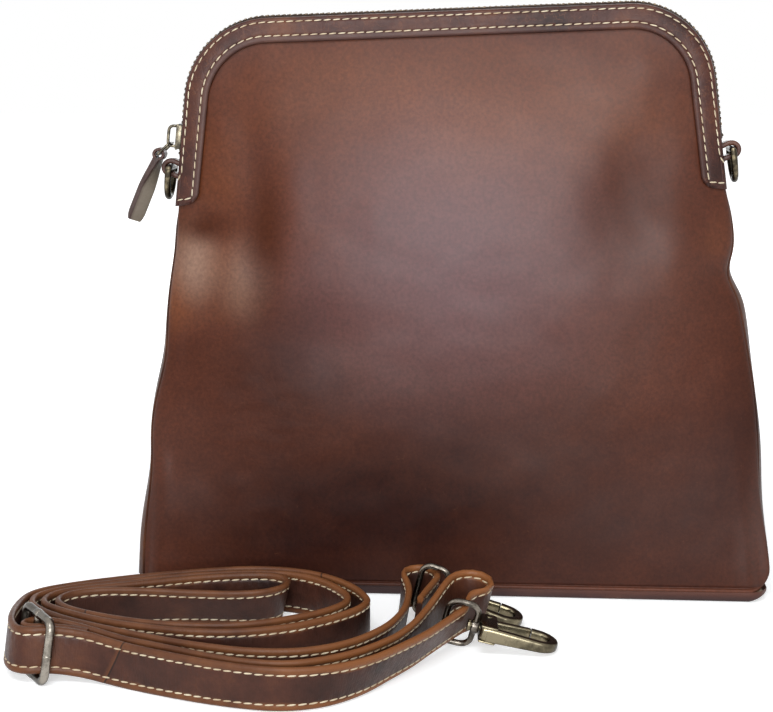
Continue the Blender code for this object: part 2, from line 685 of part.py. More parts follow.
def make_ring(side, run):
    frame = side_frame(run)
    half = RING_INNER_WIDTH / 2 + RING_WIRE
    bar = [(0.0, across, RING_STANDOFF) for across in spread(-half, half, 4)]
    bow = []
    for angle in spread(0.0, math.pi, 12)[1:-1]:
        bow.append((-RING_DROP * math.sin(angle) ** 0.8, half * math.cos(angle), RING_STANDOFF))
    points = [frame @ Vector(point) for point in bar + bow]
    ring = wire(side + "_d_ring", "aged_metal", points, RING_WIRE)
    return hang(ring, frame @ Vector((0.0, 0.0, RING_STANDOFF)))


for side_name, side_run in (("left", RING_PLACE), ("right", ARCH_LENGTH - RING_PLACE)):
    make_ring_tab(side_name, side_run)
    make_ring(side_name, side_run)


# Zip slider: two plates joined by a post that runs between the teeth, with a bridge for the link

SLIDER = side_frame(SLIDER_PLACE)
CHAIN_TOP = TOOTH_RISE + TOOTH_HEIGHT / 2 + SLIDER_CLEARANCE
CHAIN_BOTTOM = TOOTH_RISE - TOOTH_HEIGHT / 2 - SLIDER_CLEARANCE
PLATE_TOP = CHAIN_TOP + SLIDER_PLATE


def make_slider():
    end = SLIDER_LENGTH / 2
    half = SLIDER_WIDTH / 2
    lower_half = ARCH_DEPTH / 2 - PANEL_THICKNESS - TAPE_SINK - TAPE_THICKNESS - 3 * GAP
    upper = block(
        "zip_slider", "aged_metal", SLIDER,
        (-end, -half, CHAIN_TOP), (end, half, PLATE_TOP), SLIDER_PLATE / 4)
    lower = block(
        "slider_lower_plate", None, SLIDER,
        (-end, -lower_half, CHAIN_BOTTOM - SLIDER_PLATE), (end, lower_half, CHAIN_BOTTOM))
    post_low = (-end + GAP, -POST_THICKNESS / 2, CHAIN_BOTTOM - SLIDER_PLATE / 2)
    post_high = (-end + GAP + POST_LENGTH, POST_THICKNESS / 2, CHAIN_TOP + SLIDER_PLATE / 2)
    post = block("slider_post", None, SLIDER, post_low, post_high)
    reach = BRIDGE_LENGTH / 2
    bridge = block(
        "slider_bridge", None, SLIDER,
        (-reach, -BRIDGE_WIDTH / 2, CHAIN_TOP + SLIDER_PLATE / 2),
        (reach, BRIDGE_WIDTH / 2, PLATE_TOP + BRIDGE_RISE), BRIDGE_BAR / 2)
    mouth = block(
        "slider_mouth", None, SLIDER,
        (-reach + BRIDGE_BAR, -SLIDER_WIDTH, PLATE_TOP),
        (reach - BRIDGE_BAR, SLIDER_WIDTH, PLATE_TOP + BRIDGE_RISE - BRIDGE_BAR))
    combine(bridge, "DIFFERENCE", mouth)
    combine(upper, "UNION", lower, post, bridge)
    return hang(upper, SLIDER.translation)


make_slider()

# The link hangs in the lower end of the bridge, and the pull hangs from the link
LINK_PIVOT = SLIDER @ Vector((
    -BRIDGE_LENGTH / 2 + BRIDGE_BAR + LINK_WIRE + GAP, 0.0,
    PLATE_TOP + BRIDGE_RISE - BRIDGE_BAR - LINK_WIRE - GAP))
LINK_DOWN = Vector((-math.sin(LINK_ANGLE), 0.0, -math.cos(LINK_ANGLE)))
PULL_PIVOT = LINK_PIVOT + LINK_DOWN * LINK_LENGTH
PULL_DOWN = Vector((-math.sin(PULL_ANGLE), 0.0, -math.cos(PULL_ANGLE)))
DEPTH_AXIS = Vector((0.0, 1.0, 0.0))


def make_link():
    points = []
    for down, across in rounded_loop(LINK_LENGTH / 2, LINK_WIDTH / 2, LINK_LENGTH / 4):
        points.append(LINK_PIVOT + LINK_DOWN * (down + LINK_LENGTH / 2) + DEPTH_AXIS * across)
    return hang(wire("zip_link", "aged_metal", points, LINK_WIRE, 6), LINK_PIVOT)


def make_pull():
    """The leather pull: folded round the link, then twisting a little towards the front."""
    half = PULL_WIDTH / 2
    eye_radius = PULL_EYE + PULL_THICKNESS / 2

    def surface(side):
        def place(run, across):
            twist = PULL_TWIST * min(1.0, run / (PULL_LENGTH / 2))
            face = PULL_DOWN.cross(DEPTH_AXIS)
            wide = DEPTH_AXIS * math.cos(twist) + face * math.sin(twist)
            thick = PULL_DOWN.cross(wide)
            narrow = 1.0 - 0.35 * max(0.0, run / PULL_LENGTH - 0.8) / 0.2
            centre = PULL_PIVOT + PULL_DOWN * (run + PULL_EYE)
            return centre + wide * (across * half * narrow) + thick * (side * PULL_THICKNESS / 2)
        return place

    frame = frame_matrix(PULL_PIVOT, PULL_DOWN, DEPTH_AXIS, PULL_DOWN.cross(DEPTH_AXIS))
    strip = sheet(
        "pull_tab", "trim_leather", spread(PULL_EYE / 2, PULL_LENGTH, 8), spread(-1.0, 1.0, 2),
        surface(1), surface(-1))
    fold = cylinder("pull_fold", None, frame, (0, -half, 0), (0, half, 0), eye_radius + PULL_EYE / 2)
    bore = cylinder("pull_bore", None, frame, (0, -PULL_WIDTH, 0), (0, PULL_WIDTH, 0), PULL_EYE)
    combine(strip, "UNION", fold)
    combine(strip, "DIFFERENCE", bore)
    return hang(strip, PULL_PIVOT)


make_link()
make_pull()


# Shoulder strap: one ribbon on its edge, coiled flat and threaded through its slider and clips

def strap_curve():
    """Stations along a smooth curve through the route, closer in its bends: lower edge, lean, run."""
    knots = np.array(STRAP_ROUTE, float)
    knots[:, :3] *= 0.001
    knots[:, 3] = np.radians(knots[:, 3])
    ends = np.vstack((2 * knots[0] - knots[1], knots, 2 * knots[-1] - knots[-2]))
    fine = []
    for index in range(1, len(ends) - 2):
        before, first, second, after = ends[index - 1:index + 3]
        for share in np.linspace(0, 1, 12, endpoint=False):
            bend = 2 * before - 5 * first + 4 * second - after
            swing = 3 * first - before - 3 * second + after
            fine.append(first + 0.5 * share * ((second - before) + share * (bend + share * swing)))
    fine.append(knots[-1])
    fine = np.array(fine)
    ways = np.diff(fine[:, :3], axis=0)
    steps = np.linalg.norm(ways, axis=1)
    headings = np.unwrap(np.arctan2(ways[:, 1], ways[:, 0]))
    turns = np.abs(np.diff(headings, prepend=headings[0]))
    runs = np.concatenate(([0.0], np.cumsum(steps)))
    crowding = np.concatenate(([0.0], np.cumsum(steps + turns * STRAP_BEND)))
    count = int(round(crowding[-1] / STRAP_STEP))
    chosen = np.interp(np.linspace(0, crowding[-1], count + 1), crowding, runs)
    return np.column_stack([np.interp(chosen, runs, fine[:, axis]) for axis in range(4)] + [chosen])


STATIONS = strap_curve()


def strap_frame(index):
    """Lower edge of the strap at a station, the way up its width and the way out of its left face."""
    lean = STATIONS[index, 3]
    place = Vector(STATIONS[index, :3])
    place.z += abs(math.sin(lean)) * STRAP_THICKNESS / 2 + GAP / 2
    ahead = Vector(STATIONS[min(index + 1, len(STATIONS) - 1), :3])
    behind = Vector(STATIONS[max(index - 1, 0), :3])
    along = (ahead - behind).normalized()
    left = Vector((-along.y, along.x, 0.0)).normalized()
    up = along.cross(left) * -1 if along.cross(left).z < 0 else along.cross(left)
    width_way = up * math.cos(lean) + left * math.sin(lean)
    return place, width_way, width_way.cross(along) * -1


def make_strap():
    def surface(side):
        def place(index, share):
            edge, up, face = strap_frame(index)
            return edge + up * (share * STRAP_WIDTH) + face * (side * STRAP_THICKNESS / 2)
        return place

    return sheet("strap", "strap_leather", range(len(STATIONS)), (0.0, 1.0), surface(1), surface(-1))


def strap_gap():
    """Least distance between two stretches of the strap, at its lower edge, middle and upper edge."""
    least = 1.0
    runs = STATIONS[:, 4]
    for share in (0.0, 0.5, 1.0):
        frames = [strap_frame(index) for index in range(len(STATIONS))]
        points = np.array([edge + up * (share * STRAP_WIDTH) for edge, up, _ in frames])
        starts = points[:-1]
        ways = np.diff(points, axis=0)
        lengths = (ways ** 2).sum(axis=1)
        for run, point in zip(runs, points):
            part = np.clip(((point - starts) * ways).sum(axis=1) / lengths, 0, 1)
            nearest = starts + ways * part[:, None]
            far = np.abs((runs[:-1] + runs[1:]) / 2 - run) > STRAP_WIDTH
            least = min(least, np.linalg.norm(nearest - point, axis=1)[far].min())
    return least - STRAP_THICKNESS


make_strap()
print("strap length %.3f m, least gap to itself %.2f mm" % (STATIONS[-1, 4], strap_gap() * 1000))


# Three-bar slider on the strap

def make_glide():
    along = Vector((math.cos(GLIDE_TURN), math.sin(GLIDE_TURN), 0.0))
    inward = Vector((-along.y, along.x, 0.0))
    up = Vector((0.0, 0.0, math.cos(GLIDE_LEAN))) + inward * math.sin(GLIDE_LEAN)
    rail = GLIDE_SLOT / 2 + GLIDE_WIRE
    middle = rail * up.z + GLIDE_WIRE
    frame = frame_matrix((*GLIDE_PLACE, middle), along, up, along.cross(up))
    outline = rounded_loop(GLIDE_BAR_SPACING, rail, 2 * GLIDE_WIRE)
    points = [frame @ Vector((x, y, 0.0)) for x, y in outline]
    glide = wire("strap_slider", "aged_metal", points, GLIDE_WIRE)
    bar = cylinder("slider_middle_bar", None, frame, (0, -rail, 0), (0, rail, 0), GLIDE_WIRE * 0.99, 8)
    return combine(glide, "UNION", bar)


make_glide()


# Swivel clips: an eye for the strap, a hook body on a swivel, a sprung gate and its rivet

def clip_frames(letter):
    """Frame of a clip's eye, and of its body turned flat to the floor; both run along the swivel."""
    place, point, lean = CLIPS[letter]
    along = point.normalized()
    rise = (lean - along * lean.dot(along)).normalized()
    straight_along = EYE_WIDTH / 2 + EYE_WIRE - EYE_CORNER
    straight_up = EYE_SLOT / 2 + EYE_WIRE - EYE_CORNER
    height = straight_along * abs(along.z) + straight_up * rise.z + EYE_CORNER * math.hypot(along.z, rise.z)
    centre = Vector((*place, height + EYE_WIRE + GAP / 2))
    eye = frame_matrix(centre, along, rise, along.cross(rise))
    level = Vector((0.0, 0.0, 1.0))
    under = (along * level.dot(along) - level).normalized()
    body = frame_matrix(centre, along, under.cross(along), under)
    return eye, body


BOSS_START = EYE_WIDTH / 2 - GAP / 2
BLOCK_START = BOSS_START + BOSS_LENGTH + GAP
HOOK_LINE = (CLIP_WIDTH - CLIP_WALL) / 2
HOOK_END = BLOCK_START + CLIP_LENGTH
NOSE_CENTRE = HOOK_END - CLIP_WIDTH / 2
NOSE_TIP = HOOK_END - CLIP_NOSE_GAP
RIVET_ALONG = BLOCK_START + CLIP_BLOCK / 2
RIVET_ACROSS = -(HOOK_LINE - 2 * RIVET_RADIUS / 2 - GAP)
FORK_GAP = GATE_THICKNESS / 2 + GAP
GATE_EYE = GATE_WIDTH * 0.75


def make_eye(letter, frame):
    outline = rounded_loop(EYE_WIDTH / 2 + EYE_WIRE, EYE_SLOT / 2 + EYE_WIRE, EYE_CORNER)
    points = [frame @ Vector((x, y, 0.0)) for x, y in outline]
    eye = wire("clip_%s_eye" % letter, "aged_metal", points, EYE_WIRE)
    boss = cylinder(
        "boss_" + letter, None, frame,
        (BOSS_START, 0, 0), (BOSS_START + BOSS_LENGTH, 0, 0), BOSS_RADIUS)
    bore = cylinder(
        "boss_bore_" + letter, None, frame,
        (0, 0, 0), (BLOCK_START + BOSS_LENGTH, 0, 0), SWIVEL_RADIUS + SWIVEL_CLEARANCE)
    combine(eye, "UNION", boss)
    return combine(eye, "DIFFERENCE", bore)


def make_clip_body(letter, frame):
    half = CLIP_THICKNESS / 2
    body = block(
        "clip_%s_body" % letter, "brass", frame,
        (BLOCK_START, -CLIP_WIDTH / 2 + GAP, -half),
        (BLOCK_START + CLIP_BLOCK, CLIP_WIDTH / 2 - GAP, half), half / 6)
    line = [(BLOCK_START + CLIP_BLOCK / 2, HOOK_LINE, 0.0)]
    for angle in spread(math.pi / 2, -math.pi / 2, 8):
        line.append((NOSE_CENTRE + HOOK_LINE * math.cos(angle), HOOK_LINE * math.sin(angle), angle - math.pi / 2))
    line.append((NOSE_TIP, -HOOK_LINE, -math.pi))

    def surface(side):
        def place(index, share):
            along, across, turn = line[index]
            normal = Vector((-math.sin(turn), math.cos(turn), 0.0))
            thin = 1.0 - CLIP_TAPER * (along - BLOCK_START) / CLIP_LENGTH
            point = Vector((along, across, share * (half - GAP) * thin)) + normal * (side * CLIP_WALL / 2)
            return frame @ point
        return place

    hook = sheet("hook_" + letter, None, range(len(line)), (-1.0, 1.0), surface(1), surface(-1))
    stem = cylinder(
        "swivel_" + letter, None, frame,
        (BOSS_START - GAP - HEAD_LENGTH / 2, 0, 0), (BLOCK_START + CLIP_BLOCK / 2, 0, 0), SWIVEL_RADIUS)
    head = cylinder(
        "swivel_head_" + letter, None, frame,
        (BOSS_START - GAP - HEAD_LENGTH, 0, 0), (BOSS_START - GAP, 0, 0), HEAD_RADIUS)
    fork_depth = RIVET_ACROSS + GATE_EYE + 2 * GAP
    fork = block(
        "fork_" + letter, None, frame,
        (RIVET_ALONG - GATE_EYE - 2 * GAP, -CLIP_WIDTH, -FORK_GAP),
        (BLOCK_START + 2 * CLIP_BLOCK, fork_depth, FORK_GAP))
    hole = cylinder(
        "rivet_hole_" + letter, None, frame,
        (RIVET_ALONG, RIVET_ACROSS, -CLIP_THICKNESS), (RIVET_ALONG, RIVET_ACROSS, CLIP_THICKNESS),
        RIVET_RADIUS + GAP)
    combine(body, "UNION", hook, stem, head)
    combine(body, "DIFFERENCE", fork, hole)
    return hang(body, frame.translation)


def make_gate(letter, frame):
    half = GATE_THICKNESS / 2
    pivot = Vector((RIVET_ALONG, RIVET_ACROSS, 0.0))
    tip = Vector((NOSE_TIP - 2 * GAP, -HOOK_LINE, 0.0))
    along = (tip - pivot).normalized()
    flat = Vector((0.0, 0.0, 1.0))
    bar_frame = frame @ frame_matrix(pivot, along, flat.cross(along), flat)
    reach = (tip - pivot).length
    gate = block(
        "clip_%s_gate" % letter, "brass", bar_frame,
        (0, -GATE_WIDTH / 2, -half), (reach, GATE_WIDTH / 2, half), GATE_WIDTH / 8)
    eye = cylinder("gate_eye_" + letter, None, bar_frame, (0, 0, GAP - half), (0, 0, half - GAP), GATE_EYE)
    hole = cylinder(
        "gate_hole_" + letter, None, bar_frame,
        (0, 0, -CLIP_THICKNESS), (0, 0, CLIP_THICKNESS), RIVET_RADIUS + GAP)
    combine(gate, "UNION", eye)
    combine(gate, "DIFFERENCE", hole)
    return hang(gate, bar_frame.translation)


def make_rivet(letter, frame):
    reach = CLIP_THICKNESS / 2 + RIVET_PROUD
    rivet = cylinder(
        "clip_%s_rivet" % letter, "brass", frame,
        (RIVET_ALONG, RIVET_ACROSS, -reach), (RIVET_ALONG, RIVET_ACROSS, reach), RIVET_RADIUS, 12)
    return hang(rivet, frame.translation)


for clip_letter in CLIPS:
    eye_frame, body_frame = clip_frames(clip_letter)
    make_eye(clip_letter, eye_frame)
    make_clip_body(clip_letter, body_frame)
    make_gate(clip_letter, body_frame)
    make_rivet(clip_letter, body_frame)
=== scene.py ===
"""Leather crossbody bag with an arched zip top and an unclipped shoulder strap, dressed over its frame."""
import math
from functools import partial

import bmesh
import bpy
import numpy as np
from mathutils import Matrix, Vector, noise


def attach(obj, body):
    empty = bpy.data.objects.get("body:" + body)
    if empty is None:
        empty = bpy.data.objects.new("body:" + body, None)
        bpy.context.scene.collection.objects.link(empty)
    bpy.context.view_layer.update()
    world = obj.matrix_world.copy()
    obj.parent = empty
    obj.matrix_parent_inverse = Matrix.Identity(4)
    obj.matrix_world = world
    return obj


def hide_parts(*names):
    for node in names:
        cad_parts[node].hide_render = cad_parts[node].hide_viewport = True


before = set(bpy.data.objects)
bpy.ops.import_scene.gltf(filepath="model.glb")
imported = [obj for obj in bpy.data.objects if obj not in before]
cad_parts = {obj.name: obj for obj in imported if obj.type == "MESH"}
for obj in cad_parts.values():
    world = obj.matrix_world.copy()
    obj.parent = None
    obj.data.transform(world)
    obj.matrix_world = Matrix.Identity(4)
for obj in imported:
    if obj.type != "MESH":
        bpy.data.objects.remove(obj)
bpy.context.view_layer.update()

# Base: a leather panel turned up by a few millimetres round a fibre board, which keeps the bag
# standing. The panels are sewn to its turned-up rim, so it shows as a thin dark strip.

BASE_WIDTH = 0.290
BASE_DEPTH = 0.060
BASE_RIM = 0.0053
BASE_CORNER = 0.009
BASE_EASE = 0.0008
BASE_END_ROUND = 0.013
BASE_END_LIFT = 0.75
PANEL_THICKNESS = 0.0018


def add(tree, kind, inputs=None, **settings):
    """A shader node with its settings made, and its inputs given values or linked to other nodes."""
    node = tree.nodes.new(kind)
    for name, value in settings.items():
        setattr(node, name, value)
    for name, value in (inputs or {}).items():
        if isinstance(value, bpy.types.NodeSocket):
            tree.links.new(value, node.inputs[name])
        else:
            node.inputs[name].default_value = value
    return node


def new_group(name, inputs, outputs):
    """An empty shader node group with named sockets, and its input and output nodes."""
    tree = bpy.data.node_groups.new(name, "ShaderNodeTree")
    kinds = {"c": "NodeSocketColor", "v": "NodeSocketVector", "f": "NodeSocketFloat"}
    for socket_name, kind in inputs.items():
        tree.interface.new_socket(socket_name, in_out="INPUT", socket_type=kinds[kind])
    for socket_name, kind in outputs.items():
        tree.interface.new_socket(socket_name, in_out="OUTPUT", socket_type=kinds[kind])
    return tree, tree.nodes.new("NodeGroupInput"), tree.nodes.new("NodeGroupOutput")


def mixed(tree, share, first, second, blend="MIX"):
    """A colour mixed from two others by a share."""
    sockets = {0: share, 6: first, 7: second}
    return add(tree, "ShaderNodeMix", sockets, data_type="RGBA", blend_type=blend).outputs[2]


def math_node(tree, operation, first, second=0.5, clamp=False):
    """The result of one sum on two values."""
    values = {0: first, 1: second}
    return add(tree, "ShaderNodeMath", values, operation=operation, use_clamp=clamp).outputs[0]


def ranged(tree, value, low, high, to_low=0.0, to_high=1.0, smooth=False):
    """A value moved from one range to another."""
    settings = {"interpolation_type": "SMOOTHSTEP"} if smooth else {"clamp": True}
    inputs = {"Value": value, "From Min": low, "From Max": high, "To Min": to_low, "To Max": to_high}
    return add(tree, "ShaderNodeMapRange", inputs, **settings).outputs[0]


def axis(tree, vector, letter):
    """One coordinate of a vector."""
    return add(tree, "ShaderNodeSeparateXYZ", {0: vector}).outputs[letter]


def cloudy(tree, vector, scale, detail, **more):
    """A cloudy pattern from 0 to 1."""
    inputs = {"Vector": vector, "Scale": scale, "Detail": detail, **more}
    return add(tree, "ShaderNodeTexNoise", inputs).outputs["Fac"]


def shaded(tree, colour, strength):
    """A colour made darker or lighter by a strength that varies over the surface."""
    grey = add(tree, "ShaderNodeCombineColor", {0: strength, 1: strength, 2: strength}).outputs[0]
    return mixed(tree, 1.0, colour, grey, "MULTIPLY")


def hide_group():
    """Waxed hide: mottled colour, uneven gloss and a fine pore and crease relief."""
    tree, given, result = new_group(
        "waxed_hide",
        {"Position": "v", "Deep": "c", "Middle": "c", "Rubbed": "c",
         "Lift": "f", "Mottle": "f", "Gloss": "f"},
        {"Color": "c", "Roughness": "f", "Height": "f"})
    place = given.outputs["Position"]
    clouds = cloudy(tree, place, 17.0, 5.0, Roughness=0.6)
    blotches = cloudy(tree, place, 75.0, 4.0, Roughness=0.65)
    grain = cloudy(tree, place, 520.0, 4.0, Roughness=0.6)
    pores = add(tree, "ShaderNodeTexVoronoi", {"Vector": place, "Scale": 1150.0}, feature="SMOOTH_F1")
    creases = add(tree, "ShaderNodeTexVoronoi", {"Vector": place, "Scale": 240.0}, feature="DISTANCE_TO_EDGE")
    cloud_tone = ranged(tree, clouds, 0.30, 0.70, -0.5, 0.5)
    blotch_tone = ranged(tree, blotches, 0.30, 0.70, -0.28, 0.28)
    tone = math_node(tree, "ADD", cloud_tone, blotch_tone)
    tone = math_node(tree, "MULTIPLY", tone, given.outputs["Mottle"])
    tone = math_node(tree, "ADD", tone, given.outputs["Lift"], clamp=True)
    low_half = ranged(tree, tone, 0.0, 0.5)
    high_half = ranged(tree, tone, 0.5, 1.0)
    colour = mixed(tree, low_half, given.outputs["Deep"], given.outputs["Middle"])
    colour = mixed(tree, high_half, colour, given.outputs["Rubbed"])
    pore_shade = ranged(tree, pores.outputs["Distance"], 0.0, 0.55, 0.80, 1.06)
    colour = mixed(tree, 0.55, colour, shaded(tree, colour, pore_shade))
    tree.links.new(colour, result.inputs["Color"])
    rough = ranged(tree, grain, 0.3, 0.7, -0.07, 0.07)
    rough = math_node(tree, "ADD", rough, ranged(tree, clouds, 0.3, 0.7, 0.05, -0.05))
    tree.links.new(math_node(tree, "ADD", rough, given.outputs["Gloss"]), result.inputs["Roughness"])
    height = math_node(tree, "MULTIPLY", grain, 0.55)
    height = math_node(tree, "ADD", height, math_node(tree, "MULTIPLY", pores.outputs["Distance"], 0.30))
    crease = ranged(tree, creases.outputs["Distance"], 0.0, 0.10, 0.0, 0.22)
    tree.links.new(math_node(tree, "ADD", height, crease), result.inputs["Height"])
    return tree


waxed_hide = hide_group()


def new_material(name):
    """An empty material, with its tree, its shader and the position on the piece."""
    material = bpy.data.materials.new(name)
    material.use_nodes = True
    tree = material.node_tree
    shader = tree.nodes["Principled BSDF"]
    place = tree.nodes.new("ShaderNodeTexCoord").outputs["Object"]
    return material, tree, shader, place


def rough_bump(tree, shader, height, distance, strength):
    """Relief on a shader from a height."""
    bump = add(tree, "ShaderNodeBump", {"Height": height, "Distance": distance, "Strength": strength})
    tree.links.new(bump.outputs["Normal"], shader.inputs["Normal"])


def hide_material(name, deep, middle, rubbed, lift, mottle, gloss, relief, shine=0.32):
    """A waxed leather of three tones."""
    material, tree, shader, place = new_material(name)
    hide = add(tree, "ShaderNodeGroup", {
        "Position": place, "Deep": (*deep, 1.0), "Middle": (*middle, 1.0), "Rubbed": (*rubbed, 1.0),
        "Lift": lift, "Mottle": mottle, "Gloss": gloss}, node_tree=waxed_hide)
    tree.links.new(hide.outputs["Color"], shader.inputs["Base Color"])
    tree.links.new(hide.outputs["Roughness"], shader.inputs["Roughness"])
    rough_bump(tree, shader, hide.outputs["Height"], 0.00035, relief)
    shader.inputs["Specular IOR Level"].default_value = shine
    return material, tree, shader, hide


def spot(hide):
    """The position that a hide's group reads."""
    return hide.inputs["Position"].links[0].from_socket


def skin(rows, columns, place, capped=False):
    """A sheet of faces laid on a surface: place(along, across) gives each corner, both from 0 to 1."""
    bm = bmesh.new()
    bm.loops.layers.uv.new("UVMap")
    bmesh.ops.create_grid(bm, x_segments=columns, y_segments=rows, size=0.5, calc_uvs=True)
    for vert in bm.verts:
        vert.co = place(vert.co.y + 0.5, vert.co.x + 0.5)
    bmesh.ops.remove_doubles(bm, verts=bm.verts[:], dist=1e-7)
    if capped:
        rims = [edge for edge in bm.edges if edge.is_boundary]
        bmesh.ops.holes_fill(bm, edges=rims, sides=0)
    bm.normal_update()
    bmesh.ops.recalc_face_normals(bm, faces=bm.faces[:])
    return bm


def dress(name, bm, material, body, slot, *nodes, crisp=40):
    """A finished piece from a bmesh: it moves with a body and stands for CAD nodes."""
    mesh = bpy.data.meshes.new(name)
    bm.to_mesh(mesh)
    bm.free()
    mesh.shade_smooth()
    mesh.set_sharp_from_angle(angle=math.radians(crisp))
    mesh.materials.append(material)
    obj = bpy.data.objects.new(name, mesh)
    bpy.context.collection.objects.link(obj)
    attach(obj, body)
    if nodes:
        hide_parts(*nodes)
    return obj


def base_material():
    """Base hide: dark underneath and redder up its turned edge, most of all at its right end; the darkening
    towards its bottom and its left is painted shade, on the left from the strap.
    """
    material, tree, shader, hide = hide_material(
        "base_leather", (0.010, 0.005, 0.006), (0.034, 0.014, 0.013), (0.10, 0.036, 0.018),
        lift=0.4, mottle=0.6, gloss=0.42, relief=0.3)
    unshaded_up_rim = ranged(tree, axis(tree, spot(hide), "Z"), 0.0008, 0.0050, 0.10, 1.0, smooth=True)
    unshaded_right_end = ranged(tree, axis(tree, spot(hide), "X"), -0.03, 0.08, 0.15, 0.90)
    # Share of the redder colour: painted shade keeps the bottom of the rim and its left end dark
    rubbed = math_node(tree, "MULTIPLY", unshaded_up_rim, unshaded_right_end)
    colour = mixed(tree, rubbed, hide.outputs["Color"], (0.088, 0.026, 0.014, 1.0))
    tree.links.new(colour, shader.inputs["Base Color"])
    return material


base_leather = base_material()


def ease_edges(bm, edges, offset, segments):
    """Round edges over."""
    return bmesh.ops.bevel(
        bm, geom=edges, offset=offset, offset_type="OFFSET", segments=segments, profile=0.5, affect="EDGES",
        material=-1)


def make_base():
    """The turned-up base: a shallow tray with round corners, its ends lifted a little."""
    bm = bmesh.new()
    bmesh.ops.create_cube(bm, size=1.0)
    bmesh.ops.scale(bm, vec=(BASE_WIDTH, BASE_DEPTH, BASE_RIM), verts=bm.verts)
    bmesh.ops.translate(bm, vec=(0.0, 0.0, BASE_RIM / 2), verts=bm.verts)
    upright = [edge for edge in bm.edges if abs(edge.verts[0].co.z - edge.verts[1].co.z) > BASE_RIM / 2]
    ease_edges(bm, upright, BASE_CORNER, 10)
    top = [face for face in bm.faces if face.normal.z > 0.9]
    bmesh.ops.inset_region(bm, faces=top, thickness=PANEL_THICKNESS)
    bmesh.ops.translate(bm, vec=(0.0, 0.0, PANEL_THICKNESS - BASE_RIM), verts=top[0].verts)
    rims = [edge for edge in bm.edges if edge.calc_face_angle(0.0) > 1.0 and abs(
        edge.verts[0].co.z - edge.verts[1].co.z) < 0.0001]
    ease_edges(bm, rims, BASE_EASE, 3)
    for vert in bm.verts:
        past = max(0.0, abs(vert.co.x) - BASE_WIDTH / 2 + BASE_END_ROUND) / BASE_END_ROUND
        vert.co.z += (BASE_RIM - vert.co.z) * BASE_END_LIFT * past ** 2
    return dress("turned_base", bm, base_leather, "bag", "panel_leather", "base_panel")


make_base()


def board_material():
    """Pressed fibre board: pale flecks in a brown felt of fibres."""
    material, tree, shader, place = new_material("fibre_board")
    fibres = cloudy(tree, place, 900.0, 5.0, Roughness=0.7)
    share = ranged(tree, fibres, 0.35, 0.65)
    colour = mixed(tree, share, (0.20, 0.14, 0.09, 1.0), (0.38, 0.30, 0.20, 1.0))
    tree.links.new(colour, shader.inputs["Base Color"])
    shader.inputs["Roughness"].default_value = 0.85
    rough_bump(tree, shader, fibres, 0.0003, 0.4)
    return material


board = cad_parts["base_board"]
board.data.materials.clear()
board.data.materials.append(board_material())

# Front and back panels: two large pieces of waxed pull-up hide, cut to the bag's outline and sewn
# to the base, the gussets and the zip. They are crowned, sag a little and crease below the zip's ends.

BAG_HEIGHT = 0.264
TIP_HEIGHT = 0.181
TIP_WIDTH = 0.250
SHOULDER_WIDTH = 0.238
CORNER_RADIUS = 0.038
ARCH_DEPTH = 0.013
PANEL_CROWN = 0.004
PANEL_INSET = 0.001
SLUMP_LEAN = 0.004
SLUMP_DROP = 0.037
LOWER_ROUND = 0.045
PANEL_LOW = BASE_RIM - 0.0009
HEM_TALL = 0.0018
HEM_BEAD = 0.0008
SEAM_ROLL = 0.0055
CORNER = Vector((SHOULDER_WIDTH / 2 - CORNER_RADIUS, BAG_HEIGHT - CORNER_RADIUS))
TIP = Vector((TIP_WIDTH / 2, TIP_HEIGHT))
TANGENT = math.atan2(*reversed(TIP - CORNER)) + math.acos(CORNER_RADIUS / (TIP - CORNER).length)
TANGENT_POINT = CORNER + CORNER_RADIUS * Vector((math.cos(TANGENT), math.sin(TANGENT)))


def settled(x, y, z):
    """A point of the bag as it stands: lower corners rounded, leaning left, its left shoulder lower."""
    past = (abs(x) - half_width(z) + BASE_CORNER, abs(y) - side_depth(z) + BASE_CORNER)
    if z < TIP_HEIGHT and min(past) > 0:
        square = (past[0] ** 4 + past[1] ** 4) ** 0.25
        pulled = 1.75 * (1 - square / math.hypot(*past)) * hill(z, 0.0, LOWER_ROUND)
        x -= math.copysign(past[0] * pulled, x)
        y -= math.copysign(past[1] * pulled, y)
    lean = SLUMP_LEAN * z / BAG_HEIGHT
    drop = SLUMP_DROP * x * min(1.0, z / TIP_HEIGHT)
    return Vector((x - lean, y, z + drop))


def hill(value, centre, reach):
    """A smooth hill of height 1 at its centre."""
    return math.exp(-((value - centre) / reach) ** 2)


def half_width(z, inset=0.0):
    """Half the width of the bag at a height, drawn in by an inset."""
    if z <= TIP_HEIGHT:
        return BASE_WIDTH / 2 + (TIP_WIDTH - BASE_WIDTH) / 2 * z / TIP_HEIGHT - inset
    if z <= TANGENT_POINT.y:
        share = (z - TIP_HEIGHT) / (TANGENT_POINT.y - TIP_HEIGHT)
        return TIP.x + (TANGENT_POINT.x - TIP.x) * share - inset
    radius = CORNER_RADIUS - inset
    return CORNER.x + math.sqrt(max(0.0, radius ** 2 - (z - CORNER.y) ** 2))


def side_depth(z):
    """Half the depth of the bag along its side seams and its arch."""
    taper = max(0.0, 1 - z / TIP_HEIGHT) ** 1.2
    return (ARCH_DEPTH + (BASE_DEPTH - ARCH_DEPTH) * taper) / 2


def panel_depth(x, z):
    """Half the depth of the bag at a point of a panel: crowned in the middle, thin at the arch."""
    rise = min(z / BAG_HEIGHT, 1.0)
    middle = (ARCH_DEPTH + (BASE_DEPTH - ARCH_DEPTH) * (1 - rise ** 2.2)) / 2
    middle += PANEL_CROWN * math.sin(math.pi * rise)
    across = min(abs(x) / half_width(z), 1.0)
    edge = side_depth(z)
    return edge + (middle - edge) * (1 - across ** 3)


